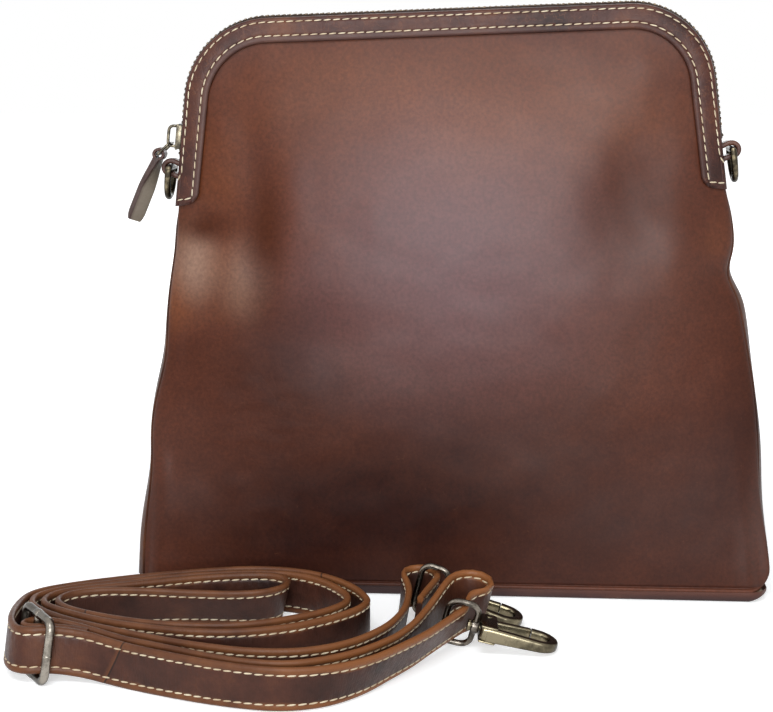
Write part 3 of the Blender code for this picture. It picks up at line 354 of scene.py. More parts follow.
# Swells of the side seams, outwards: amount, height and reach of each
LEFT_SWELLS = (
    (0.0022, 0.080, 0.018), (0.0022, 0.022, 0.028), (-0.0008, 0.162, 0.014), (-0.0012, 0.112, 0.014))
RIGHT_SWELLS = ((0.0020, 0.170, 0.022), (0.0040, 0.085, 0.045), (0.0051, 0.014, 0.028),
                (-0.0036, 0.144, 0.009), (-0.0010, 0.190, 0.020))


def side_swell(side, z):
    """How far a side seam leaves its straight line: it pinches in below the zip and swells out lower."""
    swell = sum(amount * hill(z, *where) for amount, *where in (LEFT_SWELLS if side < 0 else RIGHT_SWELLS))
    if side > 0:
        swell -= 0.0050 * max(0.0, 1 - (z - PANEL_LOW) / 0.010) ** 2
    return swell


def fold(x, z, start, end, reach):
    """How near a point is to a straight fold between two places: 1 on it, fading at its sides and ends."""
    first, last = Vector(start), Vector(end)
    way = (last - first).normalized()
    away = Vector((x, z)) - (first + last) / 2
    return hill(away.cross(way), 0.0, reach) * hill(away.dot(way), 0.0, (last - first).length * 0.62)


# Folds of the front panel: amount outwards, both ends and reach of each
PANEL_FOLDS = (
    (-0.0017, (-0.094, 0.214), (-0.083, 0.148), 0.0125), (-0.0018, (-0.126, 0.173), (-0.098, 0.169), 0.0085),
    (-0.0022, (-0.126, 0.114), (-0.046, 0.122), 0.0150), (-0.0019, (0.098, 0.222), (0.062, 0.166), 0.0155),
    (-0.0010, (0.110, 0.174), (0.118, 0.155), 0.0055), (0.0003, (-0.034, 0.181), (-0.034, 0.161), 0.0030))
# Swells and dents of the front panel: amount outwards, then place and reach across and up
PANEL_SWELLS = (
    (0.0024, -0.116, 0.017, 0.152, 0.015), (0.0014, -0.098, 0.013, 0.143, 0.017),
    (-0.0014, -0.134, 0.020, 0.063, 0.012), (0.0009, -0.134, 0.018, 0.086, 0.013),
    (0.0009, -0.134, 0.018, 0.038, 0.014), (0.0024, 0.102, 0.018, 0.158, 0.023),
    (0.0012, -0.030, 0.036, 0.145, 0.050), (-0.0012, 0.045, 0.040, 0.088, 0.035))


def panel_relief(x, z):
    """Soft folds, dents and swells of the front panel, outwards, with fine wrinkles at its lower left."""
    relief = sum(amount * fold(x, z, *where) for amount, *where in PANEL_FOLDS)
    for amount, x_place, x_reach, z_place, z_reach in PANEL_SWELLS:
        relief += amount * hill(x, x_place, x_reach) * hill(z, z_place, z_reach)
    relief += 0.0007 * noise.noise((x * 28, 0.0, z * 28)) + 0.0002 * noise.noise((x * 90, 4.0, z * 90))
    wrinkled = hill(x, -0.092, 0.028) * hill(z, 0.092, 0.036)
    return relief + 0.00030 * noise.noise((x * 60 + z * 110, 9.0, z * 190 - x * 60)) * wrinkled


def there_and_back(share):
    """A way from 0 to 1 in the first half of a share and back in the second, and if it is on its way back."""
    return (share * 2, False) if share <= 0.5 else (2 - share * 2, True)


def panel_place(facing, share_up, share_round):
    """A corner of a panel: across its outside and back across its inside, from the base to the arch."""
    straight = TANGENT_POINT.y - PANEL_LOW
    curved = CORNER_RADIUS * (math.pi / 2 - TANGENT)
    if share_up < 0.1:
        run = share_up / 0.1 * 2 * HEM_TALL
    else:
        run = 2 * HEM_TALL + (share_up - 0.1) / 0.9 * (straight + curved - 2 * HEM_TALL)
    if run < straight:
        z = PANEL_LOW + run
    else:
        z = CORNER.y + (CORNER_RADIUS - PANEL_INSET) * math.sin(TANGENT + (run - straight) / CORNER_RADIUS)
    across, inside = there_and_back(share_round)
    across = math.sin((across - 0.5) * math.pi)
    width = half_width(z, PANEL_INSET)
    x = across * width
    depth = panel_depth(x, z)
    gap = width - abs(x)
    rise = z - PANEL_LOW
    fade = min(1.0, gap / 0.010) * min(1.0, rise / 0.02) * min(1.0, (BAG_HEIGHT - z) / 0.025)
    stood = settled(x, 0.0, z)
    relief = fade * (panel_relief(stood.x, stood.z) if facing < 0 else 0.5 * panel_relief(-stood.x, stood.z))
    if inside:
        depth += min(0.0, relief) - PANEL_THICKNESS - 0.0002 * (1 - min(1.0, gap / 0.0016))
    else:
        roll = max(0.0, 1 - gap / SEAM_ROLL)
        bead = min(1.0, abs(2 * rise / HEM_TALL - 1))
        hem = HEM_BEAD * math.sqrt(1 - bead ** 2) - 0.0004 * hill(rise, HEM_TALL * 1.15, 0.0006)
        depth += relief - 0.0020 * (1 - math.sqrt(1 - roll ** 2)) + hem * (1 - roll)
    side = 1 if x > 0 else -1
    return settled(x + side * side_swell(side, z) * abs(across) ** 6, facing * depth, z)


def vector_node(tree, operation, first, second):
    """The result of one sum on two vectors."""
    return add(tree, "ShaderNodeVectorMath", {0: first, 1: second}, operation=operation).outputs[0]


def patch_group():
    """A soft round patch: 1 at its centre, 0 past its reach."""
    tree, given, result = new_group(
        "soft_patch", {"Position": "v", "Centre": "v", "Reach": "v"}, {"Mask": "f"})
    away = vector_node(tree, "SUBTRACT", given.outputs["Position"], given.outputs["Centre"])
    scaled = vector_node(tree, "DIVIDE", away, given.outputs["Reach"])
    far = add(tree, "ShaderNodeVectorMath", {0: scaled}, operation="LENGTH").outputs["Value"]
    tree.links.new(ranged(tree, far, 1.0, 0.0, smooth=True), result.inputs["Mask"])
    return tree


soft_patch = patch_group()


def off(tree, value, centre):
    """How far a value lies from a centre, either way."""
    return math_node(tree, "ABSOLUTE", math_node(tree, "SUBTRACT", value, centre))


# Tone of the panels in soft patches, partly wear and partly painted light: painted shade in dents, folds and
# low down, and painted highlight high up and at the left fold. Place across and up, reach across and up, and
# amount of each
WEAR_AND_PAINTED_LIGHT = (
    (-0.112, 0.165, 0.066, 0.090, 0.26), (-0.135, 0.030, 0.070, 0.075, -0.06),
    (0.080, 0.222, 0.075, 0.050, 0.16), (0.128, 0.085, 0.045, 0.100, -0.18),
    (-0.060, 0.230, 0.060, 0.045, 0.20), (0.010, 0.215, 0.100, 0.065, 0.38),
    (0.050, 0.025, 0.180, 0.085, -0.34), (-0.080, 0.108, 0.075, 0.050, -0.24),
    (-0.070, 0.028, 0.110, 0.060, -0.30), (-0.020, 0.075, 0.130, 0.070, -0.12),
    (-0.089, 0.180, 0.018, 0.055, -0.14), (-0.112, 0.171, 0.024, 0.014, -0.18),
    (0.078, 0.190, 0.026, 0.042, -0.14), (0.114, 0.165, 0.014, 0.022, 0.14),
    (-0.128, 0.142, 0.014, 0.034, 0.30), (-0.122, 0.114, 0.030, 0.020, -0.12))
POLISHED_WEAR = (
    (0.010, 0.172, 0.130, 0.135, 0.38), (-0.120, 0.152, 0.026, 0.034, 0.40),
    (-0.096, 0.142, 0.034, 0.036, 0.08), (0.102, 0.160, 0.056, 0.060, 0.20),
    (0.070, 0.035, 0.140, 0.060, 0.19), (0.075, 0.228, 0.070, 0.055, 0.16),
    (0.150, 0.050, 0.018, 0.085, 0.55), (-0.134, 0.062, 0.040, 0.050, 0.12))
# Pale bends at the left fold, paler pull-up hide and partly painted highlight: place, reach and amount of
# each
PALE_BENDS_AND_HIGHLIGHTS = ((-0.1180, 0.1515, 0.017, 0.025, 0.95), (-0.0950, 0.1440, 0.018, 0.026, 0.50))
# Painted shade in dents and folds: place, reach and amount of each
PAINTED_DENT_SHADE = ((-0.0845, 0.1640, 0.016, 0.052, 0.95), (-0.1130, 0.1675, 0.021, 0.011, 0.95),
             (0.0740, 0.1770, 0.028, 0.042, 0.50))
MATT_WEAR = ((-0.100, 0.100, 0.070, 0.055, 0.45), (0.000, 0.040, 0.160, 0.050, 0.35))


def panel_material():
    """Pull-up hide: orange at its edges, pale at bends with painted highlights there, a purplish wax bloom in
    the middle with painted sheen, and painted shade in its dents and low down where it hangs.
    """
    material, tree, shader, hide = hide_material(
        "panel_hide", (0.020, 0.0043, 0.0022), (0.072, 0.0190, 0.0085), (0.135, 0.0390, 0.0130),
        lift=0.46, mottle=0.20, gloss=0.42, relief=0.14, shine=0.06)
    place = spot(hide)
    wander = add(tree, "ShaderNodeTexNoise", {"Vector": place, "Scale": 11.0, "Detail": 3.0}).outputs["Color"]
    moved = vector_node(tree, "SUBTRACT", wander, (0.5, 0.5, 0.5))
    moved = vector_node(tree, "MULTIPLY", moved, (0.036, 0.0, 0.036))
    moved = vector_node(tree, "ADD", place, moved)

    def patches(rows, where=moved, total=None, clamp=False):
        """Sum of soft patches, each row giving a centre, its reach and its amount."""
        for x, z, wide, tall, amount in rows:
            mask = add(tree, "ShaderNodeGroup", {
                "Position": where, "Centre": (x, 0.0, z), "Reach": (wide, 1.0, tall)},
                node_tree=soft_patch).outputs["Mask"]
            mask = math_node(tree, "MULTIPLY", mask, amount)
            total = mask if total is None else math_node(tree, "ADD", total, mask, clamp=clamp)
        return total

    # Wear and painted light in the tone: painted shade in dents, folds and low down, painted highlight high
    # up and at the left fold
    tree.links.new(math_node(tree, "ADD", patches(WEAR_AND_PAINTED_LIGHT), 0.46), hide.inputs["Lift"])
    # Purplish wax bloom in the middle, partly painted sheen
    bloom_and_sheen = patches([(0.000, 0.155, 0.105, 0.100, 0.65)])
    colour = mixed(tree, bloom_and_sheen, hide.outputs["Color"], (0.098, 0.041, 0.046, 1.0))
    # Paler pull-up hide at the left fold's bends, partly painted highlight
    drawn = patches(PALE_BENDS_AND_HIGHLIGHTS, place, clamp=True)
    colour = mixed(tree, drawn, colour, (0.225, 0.125, 0.085, 1.0))
    # Painted shade in the dents and folds
    dent_shade = patches(PAINTED_DENT_SHADE, place, clamp=True)
    colour = mixed(tree, dent_shade, colour, (0.052, 0.0130, 0.0050, 1.0))
    # Bottom band in the hem bead's colour, with painted shade fading it out to the left, where the strap
    # shades it
    hem = ranged(tree, axis(tree, place, "Z"), 0.0068, 0.0058, smooth=True)
    hem = math_node(tree, "MULTIPLY", hem, ranged(tree, axis(tree, place, "X"), -0.03, 0.08, 0.25, 0.85))
    colour = mixed(tree, hem, colour, (0.105, 0.031, 0.015, 1.0))
    scuff = ranged(tree, cloudy(tree, place, 260.0, 2.0, Distortion=1.5), 0.70, 0.80, 0.0, 0.16)
    colour = mixed(tree, scuff, colour, (0.17, 0.060, 0.028, 1.0))
    colour = shaded(tree, colour, ranged(tree, cloudy(tree, place, 620.0, 2.0), 0.30, 0.70, 0.84, 1.16))
    tree.links.new(colour, shader.inputs["Base Color"])

    polish = math_node(tree, "MULTIPLY", patches(POLISHED_WEAR), ranged(tree, dent_shade, 0.0, 1.0, 1.0, 0.2))
    matt = patches(MATT_WEAR, total=dent_shade, clamp=True)
    polish = math_node(tree, "ADD", polish, ranged(tree, matt, 0.0, 1.0, 0.23, 0.0))
    tree.links.new(polish, shader.inputs["Coat Weight"])
    shader.inputs["Coat Roughness"].default_value = 0.38
    shader.inputs["Coat IOR"].default_value = 1.45

    line = off(tree, cloudy(tree, place, 42.0, 5.0, Distortion=0.6), 0.5)
    creased = patches([(0.045, 0.222, 0.080, 0.035, 1.0), (-0.092, 0.092, 0.050, 0.065, 1.0)])
    creased = math_node(tree, "ADD", creased, 0.12)
    height = math_node(tree, "MULTIPLY", ranged(tree, line, 0.0, 0.016, -0.8, 0.0), creased)
    stretch = vector_node(tree, "MULTIPLY", place, (1.0, 1.0, 0.38))
    fibres = math_node(tree, "MULTIPLY", cloudy(tree, stretch, 330.0, 3.0, Distortion=0.8), 0.7)
    slanted = add(tree, "ShaderNodeMapping", {
        "Vector": place, "Rotation": (0.0, math.radians(26), 0.0), "Scale": (160.0, 160.0, 430.0)}).outputs[0]
    wrinkles = cloudy(tree, slanted, 1.0, 2.0, Distortion=0.5)
    wrinkles = math_node(tree, "MULTIPLY", wrinkles, patches([(-0.092, 0.092, 0.055, 0.068, 3.2)]))
    for more in (fibres, hide.outputs["Height"], wrinkles):
        height = math_node(tree, "ADD", height, more)
    tree.links.new(height, shader.inputs["Normal"].links[0].from_node.inputs["Height"])
    return material


panel_hide = panel_material()
for panel_name, panel_facing in (("front_panel", -1), ("back_panel", 1)):
    panel_mesh = skin(160, 220, partial(panel_place, panel_facing), capped=True)
    dress(panel_name + "_hide", panel_mesh, panel_hide, "bag", "panel_leather", panel_name)

# Gussets: leather side walls between the panels, wide at the base and running out at the zip's ends.
# They are sewn edge to edge with the panels and bulge softly where the bag is full.


GUSSET_GAP = 0.0003
GUSSET_BULGE = 0.002


def gusset_place(side, share_up, share_round):
    """A corner of a gusset: across its outside, then back across its inside."""
    low = BASE_RIM + GUSSET_GAP
    z = low + share_up * (TIP_HEIGHT - GUSSET_GAP - low)
    across, inside = there_and_back(share_round)
    across = math.sin((across - 0.5) * math.pi)
    fullness = min(1.0, (TIP_HEIGHT - z) / 0.030)
    tuck = hill(z, 0.0, LOWER_ROUND) if side > 0 else 0.0
    bulge = GUSSET_BULGE * fullness - 0.001 * tuck
    bulge += 0.0007 * math.sin(z * 95 + 2 * side) - 0.0012 * hill(z, 0.155, 0.012)
    x = half_width(z) + bulge * (1 - across ** 2) + side_swell(side, z)
    x -= 0.0012 * (1 - fullness) ** 2 + 0.003 * tuck
    if inside:
        x -= PANEL_THICKNESS
    y = across * (side_depth(z) - PANEL_THICKNESS - GUSSET_GAP)
    return settled(side * x, y, z)


# Gusset hide: darker tones than the panel hide, a painted shade for the sides that turn from the light
shaded_gusset_leather = hide_material(
    "shaded_gusset_leather", (0.016, 0.0060, 0.0045), (0.055, 0.0200, 0.0120), (0.120, 0.042, 0.017),
    lift=0.46, mottle=0.6, gloss=0.45, relief=0.30, shine=0.12)[0]
for gusset_name, gusset_side in (("left_gusset", -1), ("right_gusset", 1)):
    gusset_mesh = skin(70, 40, partial(gusset_place, gusset_side), capped=True)
    dress(gusset_name + "_hide", gusset_mesh, shaded_gusset_leather, "bag", "panel_leather", gusset_name)

# Lining: a plain woven cloth bag inside the leather, sewn along its sides and across its bottom. It is
# caught in with the zip tapes at its open top.

LINING_MARGIN = 0.010
LINING_LOW = 0.0065
LINING_THICKNESS = 0.0008
LINING_BOTTOM_SHARE = 0.12


def lining_place(share_up, share_round):
    """A corner of the lining: up its outside and down its inside, round its front and back."""
    rise, inside = there_and_back(share_up)
    inward = LINING_THICKNESS if inside else 0.0
    bottom = LINING_LOW + inward
    top = CORNER.y + (CORNER_RADIUS - LINING_MARGIN) * 0.93
    z = bottom + max(0.0, rise - LINING_BOTTOM_SHARE) / (1 - LINING_BOTTOM_SHARE) * (top - bottom)
    spread = 0.02 + 0.98 * min(1.0, rise / LINING_BOTTOM_SHARE)
    facing = -1 if share_round < 0.5 else 1
    across = (share_round * 4 - 1) if facing < 0 else (3 - share_round * 4)
    x = across * (half_width(z, LINING_MARGIN) - inward) * spread
    depth = min(panel_depth(x, z), BASE_DEPTH / 2) - 2 * PANEL_THICKNESS - inward
    return settled(x, facing * depth * spread, z)


def weave_group():
    """Plain weave: crossed threads as a mask and a height."""
    tree, given, result = new_group("plain_weave", {"Position": "v", "Threads": "f"}, {"Mask": "f"})
    scaled = add(tree, "ShaderNodeVectorMath", {
        0: given.outputs["Position"], "Scale": given.outputs["Threads"]}, operation="SCALE").outputs[0]
    warp = math_node(tree, "SINE", math_node(tree, "ADD", axis(tree, scaled, "X"), axis(tree, scaled, "Y")))
    weft = math_node(tree, "SINE", axis(tree, scaled, "Z"))
    both = math_node(tree, "MULTIPLY", warp, weft)
    tree.links.new(ranged(tree, both, -1.0, 1.0), result.inputs["Mask"])
    return tree


plain_weave = weave_group()


def cloth_material(name, dark, light, threads, relief):
    """Woven cloth of two close tones."""
    material, tree, shader, place = new_material(name)
    weave = add(tree, "ShaderNodeGroup", {"Position": place, "Threads": threads}, node_tree=plain_weave)
    share = math_node(tree, "MULTIPLY", weave.outputs["Mask"], cloudy(tree, place, 300.0, 4.0))
    tree.links.new(mixed(tree, share, (*dark, 1.0), (*light, 1.0)), shader.inputs["Base Color"])
    shader.inputs["Roughness"].default_value = 0.88
    shader.inputs["Specular IOR Level"].default_value = 0.2
    rough_bump(tree, shader, weave.outputs["Mask"], 0.0002, relief)
    return material


lining_cloth = cloth_material("lining_cloth", (0.05, 0.035, 0.026), (0.14, 0.10, 0.07), 9000.0, 0.5)
lining_mesh = skin(60, 96, lining_place, capped=True)
dress("cloth_lining", lining_mesh, lining_cloth, "bag", "lining_cloth", "lining")

# Zip facings: strips of the same hide, folded over the panels' arched edges, and held by two rows
# of cream saddle stitches. Their ends are rounded and the inner row turns out along them.

FACING_WIDTH = 0.011
FACING_LIFT = 0.0005
FACING_TIP_ROUND = 0.0052
FACING_TIP_SLANT = 0.26
SIDE_RUN = (TANGENT_POINT - TIP).length
CORNER_RUN = CORNER_RADIUS * (math.pi / 2 - TANGENT)
ARCH_LENGTH = 2 * (SIDE_RUN + CORNER_RUN + CORNER.x)
INNER_ROW = 0.0080
OUTER_ROW = 0.0019
END_ROW = 0.0028
STITCH_PITCH = 0.0042
STITCH_LENGTH = 0.0035
STITCH_SLANT = 0.09
THREAD_RADIUS = 0.00037


def arch_at(run):
    """Place and outward direction on the arch's outer edge, from its left tip, before it settles."""
    half_run = min(run, ARCH_LENGTH - run)
    if half_run < SIDE_RUN:
        angle = TANGENT
        place = TIP.lerp(TANGENT_POINT, half_run / SIDE_RUN)
    elif half_run < SIDE_RUN + CORNER_RUN:
        angle = TANGENT + (half_run - SIDE_RUN) / CORNER_RADIUS
        place = CORNER + CORNER_RADIUS * Vector((math.cos(angle), math.sin(angle)))
    else:
        angle = math.pi / 2
        place = Vector((CORNER.x + SIDE_RUN + CORNER_RUN - half_run, BAG_HEIGHT))
    side = -1 if run < ARCH_LENGTH / 2 else 1
    return Vector((side * place.x, place.y)), Vector((side * math.cos(angle), math.sin(angle)))


def facing_point(facing, run, inset, lift):
    """A point over a panel near the arch: along it, in from its edge and off the panel."""
    edge, out = arch_at(run)
    x, z = edge - out * inset
    return settled(x, facing * (panel_depth(x, z) + lift), z)


def tip_start(inset):
    """How far along the arch a facing's end starts at an inset: slanted, with a rounded inner corner."""
    past = min(1.0, max(0.0, inset - FACING_WIDTH + FACING_TIP_ROUND) / FACING_TIP_ROUND)
    return FACING_TIP_SLANT * inset + FACING_TIP_ROUND * (1 - math.sqrt(1 - past ** 2))


# Section of a facing: insets from the arch's edge and lifts off the panel, outside then inside
FACING_SECTION = [
    (0.0006, -0.0012), (0.0000, -0.0006), (-0.0001, 0.0004), (0.0001, 0.0013), (0.0006, 0.0019),
    (0.0012, 0.0021), (0.0016, 0.00205), (OUTER_ROW, 0.0018), (0.0022, 0.00205), (0.0027, 0.0022),
    (0.0040, 0.00235), (0.0055, 0.0024), (0.0068, 0.0023), (0.0074, 0.0022), (0.0077, 0.00205),
    (INNER_ROW, 0.0018), (0.0083, 0.00205), (0.0088, 0.0022), (0.0096, 0.0022), (0.0103, 0.0020),
    (0.0108, 0.0016), (FACING_WIDTH, 0.0011), (0.0109, 0.0006), (0.0100, FACING_LIFT),
    (0.0050, FACING_LIFT), (0.0014, FACING_LIFT), (0.0010, -0.0004)]


def facing_place(facing, share_along, share_round):
    """A corner of a facing."""
    index = round(share_round * len(FACING_SECTION)) % len(FACING_SECTION)
    inset, lift = FACING_SECTION[index]
    start = tip_start(max(0.0, inset))
    run = start + share_along * (ARCH_LENGTH - 2 * start)
    from_end = min(run - start, ARCH_LENGTH - start - run)
    roll = max(0.0, 1 - from_end / 0.0012)
    lift -= max(0.0, lift - FACING_LIFT) * 0.55 * (1 - math.sqrt(max(0.0, 1 - roll ** 2)))
    return facing_point(facing, run, max(inset, -0.0002), lift)


def around(tree):
    """The way round a skinned piece, from 0 to 1, from its map."""
    return axis(tree, add(tree, "ShaderNodeUVMap", uv_map="UVMap").outputs[0], "X")


def facing_material():
    """Facing hide: dark, with tan crease lines, and a painted sheen of paler greyish purple on the lip along
    its inner edge, palest at the left.
    """
    material, tree, shader, hide = hide_material(
        "facing_hide", (0.017, 0.0058, 0.0046), (0.056, 0.0185, 0.0130), (0.120, 0.042, 0.020),
        lift=0.46, mottle=0.9, gloss=0.42, relief=0.5, shine=0.22)
    lines = off(tree, cloudy(tree, spot(hide), 150.0, 4.0, Distortion=0.8), 0.5)
    lines = ranged(tree, lines, 0.014, 0.0, 0.0, 0.42)
    colour = mixed(tree, lines, hide.outputs["Color"], (0.150, 0.055, 0.026, 1.0))
    across = around(tree)
    # Painted sheen: a paler greyish purple on the lip along the inner edge, strongest at the left
    lip = math_node(tree, "MULTIPLY", ranged(tree, across, 0.56, 0.62), ranged(tree, across, 0.84, 0.78))
    lip = math_node(tree, "MULTIPLY", lip, ranged(tree, axis(tree, spot(hide), "X"), -0.04, 0.08, 0.6, 0.12))
    colour = mixed(tree, lip, colour, (0.085, 0.046, 0.040, 1.0))
    tree.links.new(colour, shader.inputs["Base Color"])
    return material


def thread_material():
    """Waxed cream thread, soiled in places."""
    material, tree, shader, place = new_material("cream_thread")
    soil = ranged(tree, cloudy(tree, place, 90.0, 2.0), 0.35, 0.70)
    colour = mixed(tree, soil, (0.66, 0.56, 0.40, 1.0), (0.46, 0.34, 0.21, 1.0))
    tree.links.new(colour, shader.inputs["Base Color"])
    shader.inputs["Roughness"].default_value = 0.75
    rough_bump(tree, shader, cloudy(tree, place, 1400.0, 2.0), 0.0002, 0.5)
    return material


facing_hide = facing_material()
thread_cream = thread_material()


def framed(along, across, out, origin):
    """A frame from its three directions and its origin."""
    place = Matrix((along, across, out)).transposed().to_4x4()
    place.translation = origin
    return place


def repeated(bm, shape, places):
    """Add a copy of a small shape to a bmesh at each place."""
    mesh = bpy.data.meshes.new("shape")
    shape.to_mesh(mesh)
    shape.free()
    corners = np.empty(3 * len(mesh.vertices), np.float32)
    mesh.vertices.foreach_get("co", corners)
    for place in places:
        mesh.transform(place)
        bm.from_mesh(mesh)
        mesh.vertices.foreach_set("co", corners)
    bpy.data.meshes.remove(mesh)


def sew(bm, points, normals):
    """Lay stitches along a line of points, each a short plump thread pressed into the leather."""
    line = [Vector(point) for point in points]
    steps = [(second - first).length for first, second in zip(line, line[1:])]
    runs = np.concatenate(([0.0], np.cumsum(steps)))
    count = max(1, round(runs[-1] / STITCH_PITCH))
    places = []
    for number in range(count):
        middle = (number + 0.5) * runs[-1] / count
        index = int(np.searchsorted(runs, middle)) - 1
        share = (middle - runs[index]) / (runs[index + 1] - runs[index])
        along = (line[index + 1] - line[index]).normalized()
        up = Vector(normals[index]).lerp(Vector(normals[index + 1]), share)
        up = (up - along * up.dot(along)).normalized()
        turned = along * math.cos(STITCH_SLANT) + up.cross(along) * math.sin(STITCH_SLANT)
        places.append(framed(
            turned * (STITCH_LENGTH / 2), up.cross(turned) * THREAD_RADIUS, up * THREAD_RADIUS,
            line[index].lerp(line[index + 1], share)))
    thread = bmesh.new()
    lying = Matrix.Rotation(math.pi / 2, 4, "Y")
    bmesh.ops.create_uvsphere(thread, u_segments=6, v_segments=6, radius=1.0, matrix=lying)
    repeated(bm, thread, places)


def facing_stitches(facing):
    """Both rows of stitches on one facing."""
    bm = bmesh.new()
    turned_out = [(inset, tip_start(inset) + END_ROW) for inset in np.linspace(0.0006, INNER_ROW, 10)]
    jog = [(0.0002, 0.0115), (0.0011, 0.0138), (OUTER_ROW, 0.0165)]
    insets, lifts = zip(*FACING_SECTION[2:20])
    for end in (turned_out, jog):
        inset, last = end[-1]
        row = end + [(inset, last + (ARCH_LENGTH - 2 * last) * step / 240) for step in range(1, 240)]
        row += [(inset, ARCH_LENGTH - run) for inset, run in reversed(end)]
        points, normals = [], []
        for inset, run in row:
            lift = float(np.interp(inset, insets, lifts)) + 0.0001
            points.append(facing_point(facing, run, inset, lift))
            normals.append(facing_point(facing, run, inset, lift + 0.001) - points[-1])
        sew(bm, points, normals)
    return bm


for facing_name, facing_side in (("front_zip_facing", -1), ("rear_zip_facing", 1)):
    facing_mesh = skin(300, len(FACING_SECTION), partial(facing_place, facing_side), capped=True)
    dress(facing_name + "_hide", facing_mesh, facing_hide, "bag", "trim_leather", facing_name)
    dress(facing_name + "_stitches", facing_stitches(facing_side), thread_cream, "bag", "trim_leather")

# Zip: two woven tapes sewn behind the facings, each with its row of moulded metal teeth, and stops
# pressed on at the ends so the slider can't run off.

TAPE_START = 0.0225
TEETH_START = 0.025
TOOTH_PITCH = 0.0025
TOOTH_RISE = 0.0006
TOOTH_FOOT = 0.0024
TOOTH_LENGTH = 0.00135
TOOTH_HEIGHT = 0.0018
TOOTH_EASE = 0.00022
OPEN_REACH = 0.0009
CLOSED_REACH = -0.0007
ZIP_CLOSED = 0.0476
STOP_LENGTH = 0.0014
STOP_HEIGHT = 0.0021


def chain_point(run, rise, depth):
    """A point of the zip chain: along the arch, above its edge and off its middle."""
    edge, out = arch_at(run)
    x, z = edge + out * rise
    return settled(x, depth, z)


# Section of a tape: insets from the arch's edge and depths, outside then inside
TAPE_SECTION = [(0.0075, 0.0045), (0.0030, 0.0042), (0.0006, 0.0040), (-0.0005, 0.0034), (-0.0010, 0.0028),
                (-0.0005, 0.0026), (0.0006, 0.0032), (0.0030, 0.0035), (0.0075, 0.0038)]


def tape_place(facing, share_along, share_round):
    """A corner of a zip tape."""
    inset, depth = TAPE_SECTION[round(share_round * len(TAPE_SECTION)) % len(TAPE_SECTION)]
    run = TAPE_START + share_along * (ARCH_LENGTH - 2 * TAPE_START)
    return chain_point(run, -inset, facing * depth)


def metal_group():
    """Aged metal: bright where rubbed, dull and dark where its patina stays."""
    tree, given, result = new_group(
        "aged_metal", {"Position": "v", "Bright": "c", "Patina": "c", "Wear": "f", "Size": "f"},
        {"Color": "c", "Roughness": "f", "Height": "f"})
    cloud = cloudy(tree, given.outputs["Position"], given.outputs["Size"], 5.0, Roughness=0.65)
    speck = cloudy(tree, given.outputs["Position"], 2600.0, 3.0, Roughness=0.6)
    level = math_node(tree, "ADD", cloud, given.outputs["Wear"])
    share = ranged(tree, level, 0.42, 0.62)
    colour = mixed(tree, share, given.outputs["Patina"], given.outputs["Bright"])
    tree.links.new(colour, result.inputs["Color"])
    rough = ranged(tree, level, 0.40, 0.65, 0.40, 0.20)
    rough = math_node(tree, "ADD", rough, ranged(tree, speck, 0.3, 0.7, -0.04, 0.04))
    tree.links.new(rough, result.inputs["Roughness"])
    tree.links.new(speck, result.inputs["Height"])
    return tree


aged_metal = metal_group()


def metal_material(name, bright, patina, wear, size):
    """Antiqued metal with its own colours and wear, and painted shade that darkens it where it turns away
    from the eye.
    """
    material, tree, shader, place = new_material(name)
    finish = add(tree, "ShaderNodeGroup", {
        "Position": place, "Bright": (*bright, 1.0), "Patina": (*patina, 1.0), "Wear": wear, "Size": size},
        node_tree=aged_metal)
    # Painted shade: the colour darkens where the surface turns away from the eye
    turned = add(tree, "ShaderNodeLayerWeight", {"Blend": 0.5}).outputs["Facing"]
    turned = ranged(tree, turned, 0.25, 0.70, 0.0, 0.72, smooth=True)
    colour = mixed(tree, turned, finish.outputs["Color"], (0.020, 0.017, 0.013, 1.0))
    tree.links.new(colour, shader.inputs["Base Color"])
    tree.links.new(finish.outputs["Roughness"], shader.inputs["Roughness"])
    rough_bump(tree, shader, finish.outputs["Height"], 0.00008, 0.09)
    shader.inputs["Metallic"].default_value = 1.0
    return material


tooth_brass = metal_material("tooth_brass", (0.20, 0.145, 0.090), (0.050, 0.036, 0.026), -0.02, 900.0)
zip_cloth = cloth_material("zip_cloth", (0.016, 0.010, 0.008), (0.060, 0.036, 0.026), 7000.0, 0.6)


def tooth_shape(facing, reach):
    """One tooth: a small eased block from the tape's edge to just past the middle of the chain."""
    low, high = sorted((facing * TOOTH_FOOT, facing * reach))
    bm = bmesh.new()
    bmesh.ops.create_cube(bm, size=1.0)
    bmesh.ops.scale(bm, vec=(TOOTH_LENGTH, high - low, TOOTH_HEIGHT), verts=bm.verts)
    head = [vert for vert in bm.verts if (vert.co.y < 0) == (facing > 0)]
    bmesh.ops.scale(bm, vec=(0.72, 1.0, 0.86), verts=head)
    bmesh.ops.translate(bm, vec=(0.0, (low + high) / 2, 0.0), verts=bm.verts)
    ease_edges(bm, bm.edges[:], TOOTH_EASE, 1)
    return bm


DEPTH_AXIS = Vector((0.0, 1.0, 0.0))


def tooth_place(run, depth=0.0):
    """Frame on the chain: along it, across it and out."""
    base = chain_point(run, TOOTH_RISE, depth)
    ahead = (chain_point(run + 0.0002, TOOTH_RISE, depth) - base).normalized()
    return framed(ahead, DEPTH_AXIS, ahead.cross(DEPTH_AXIS), base)


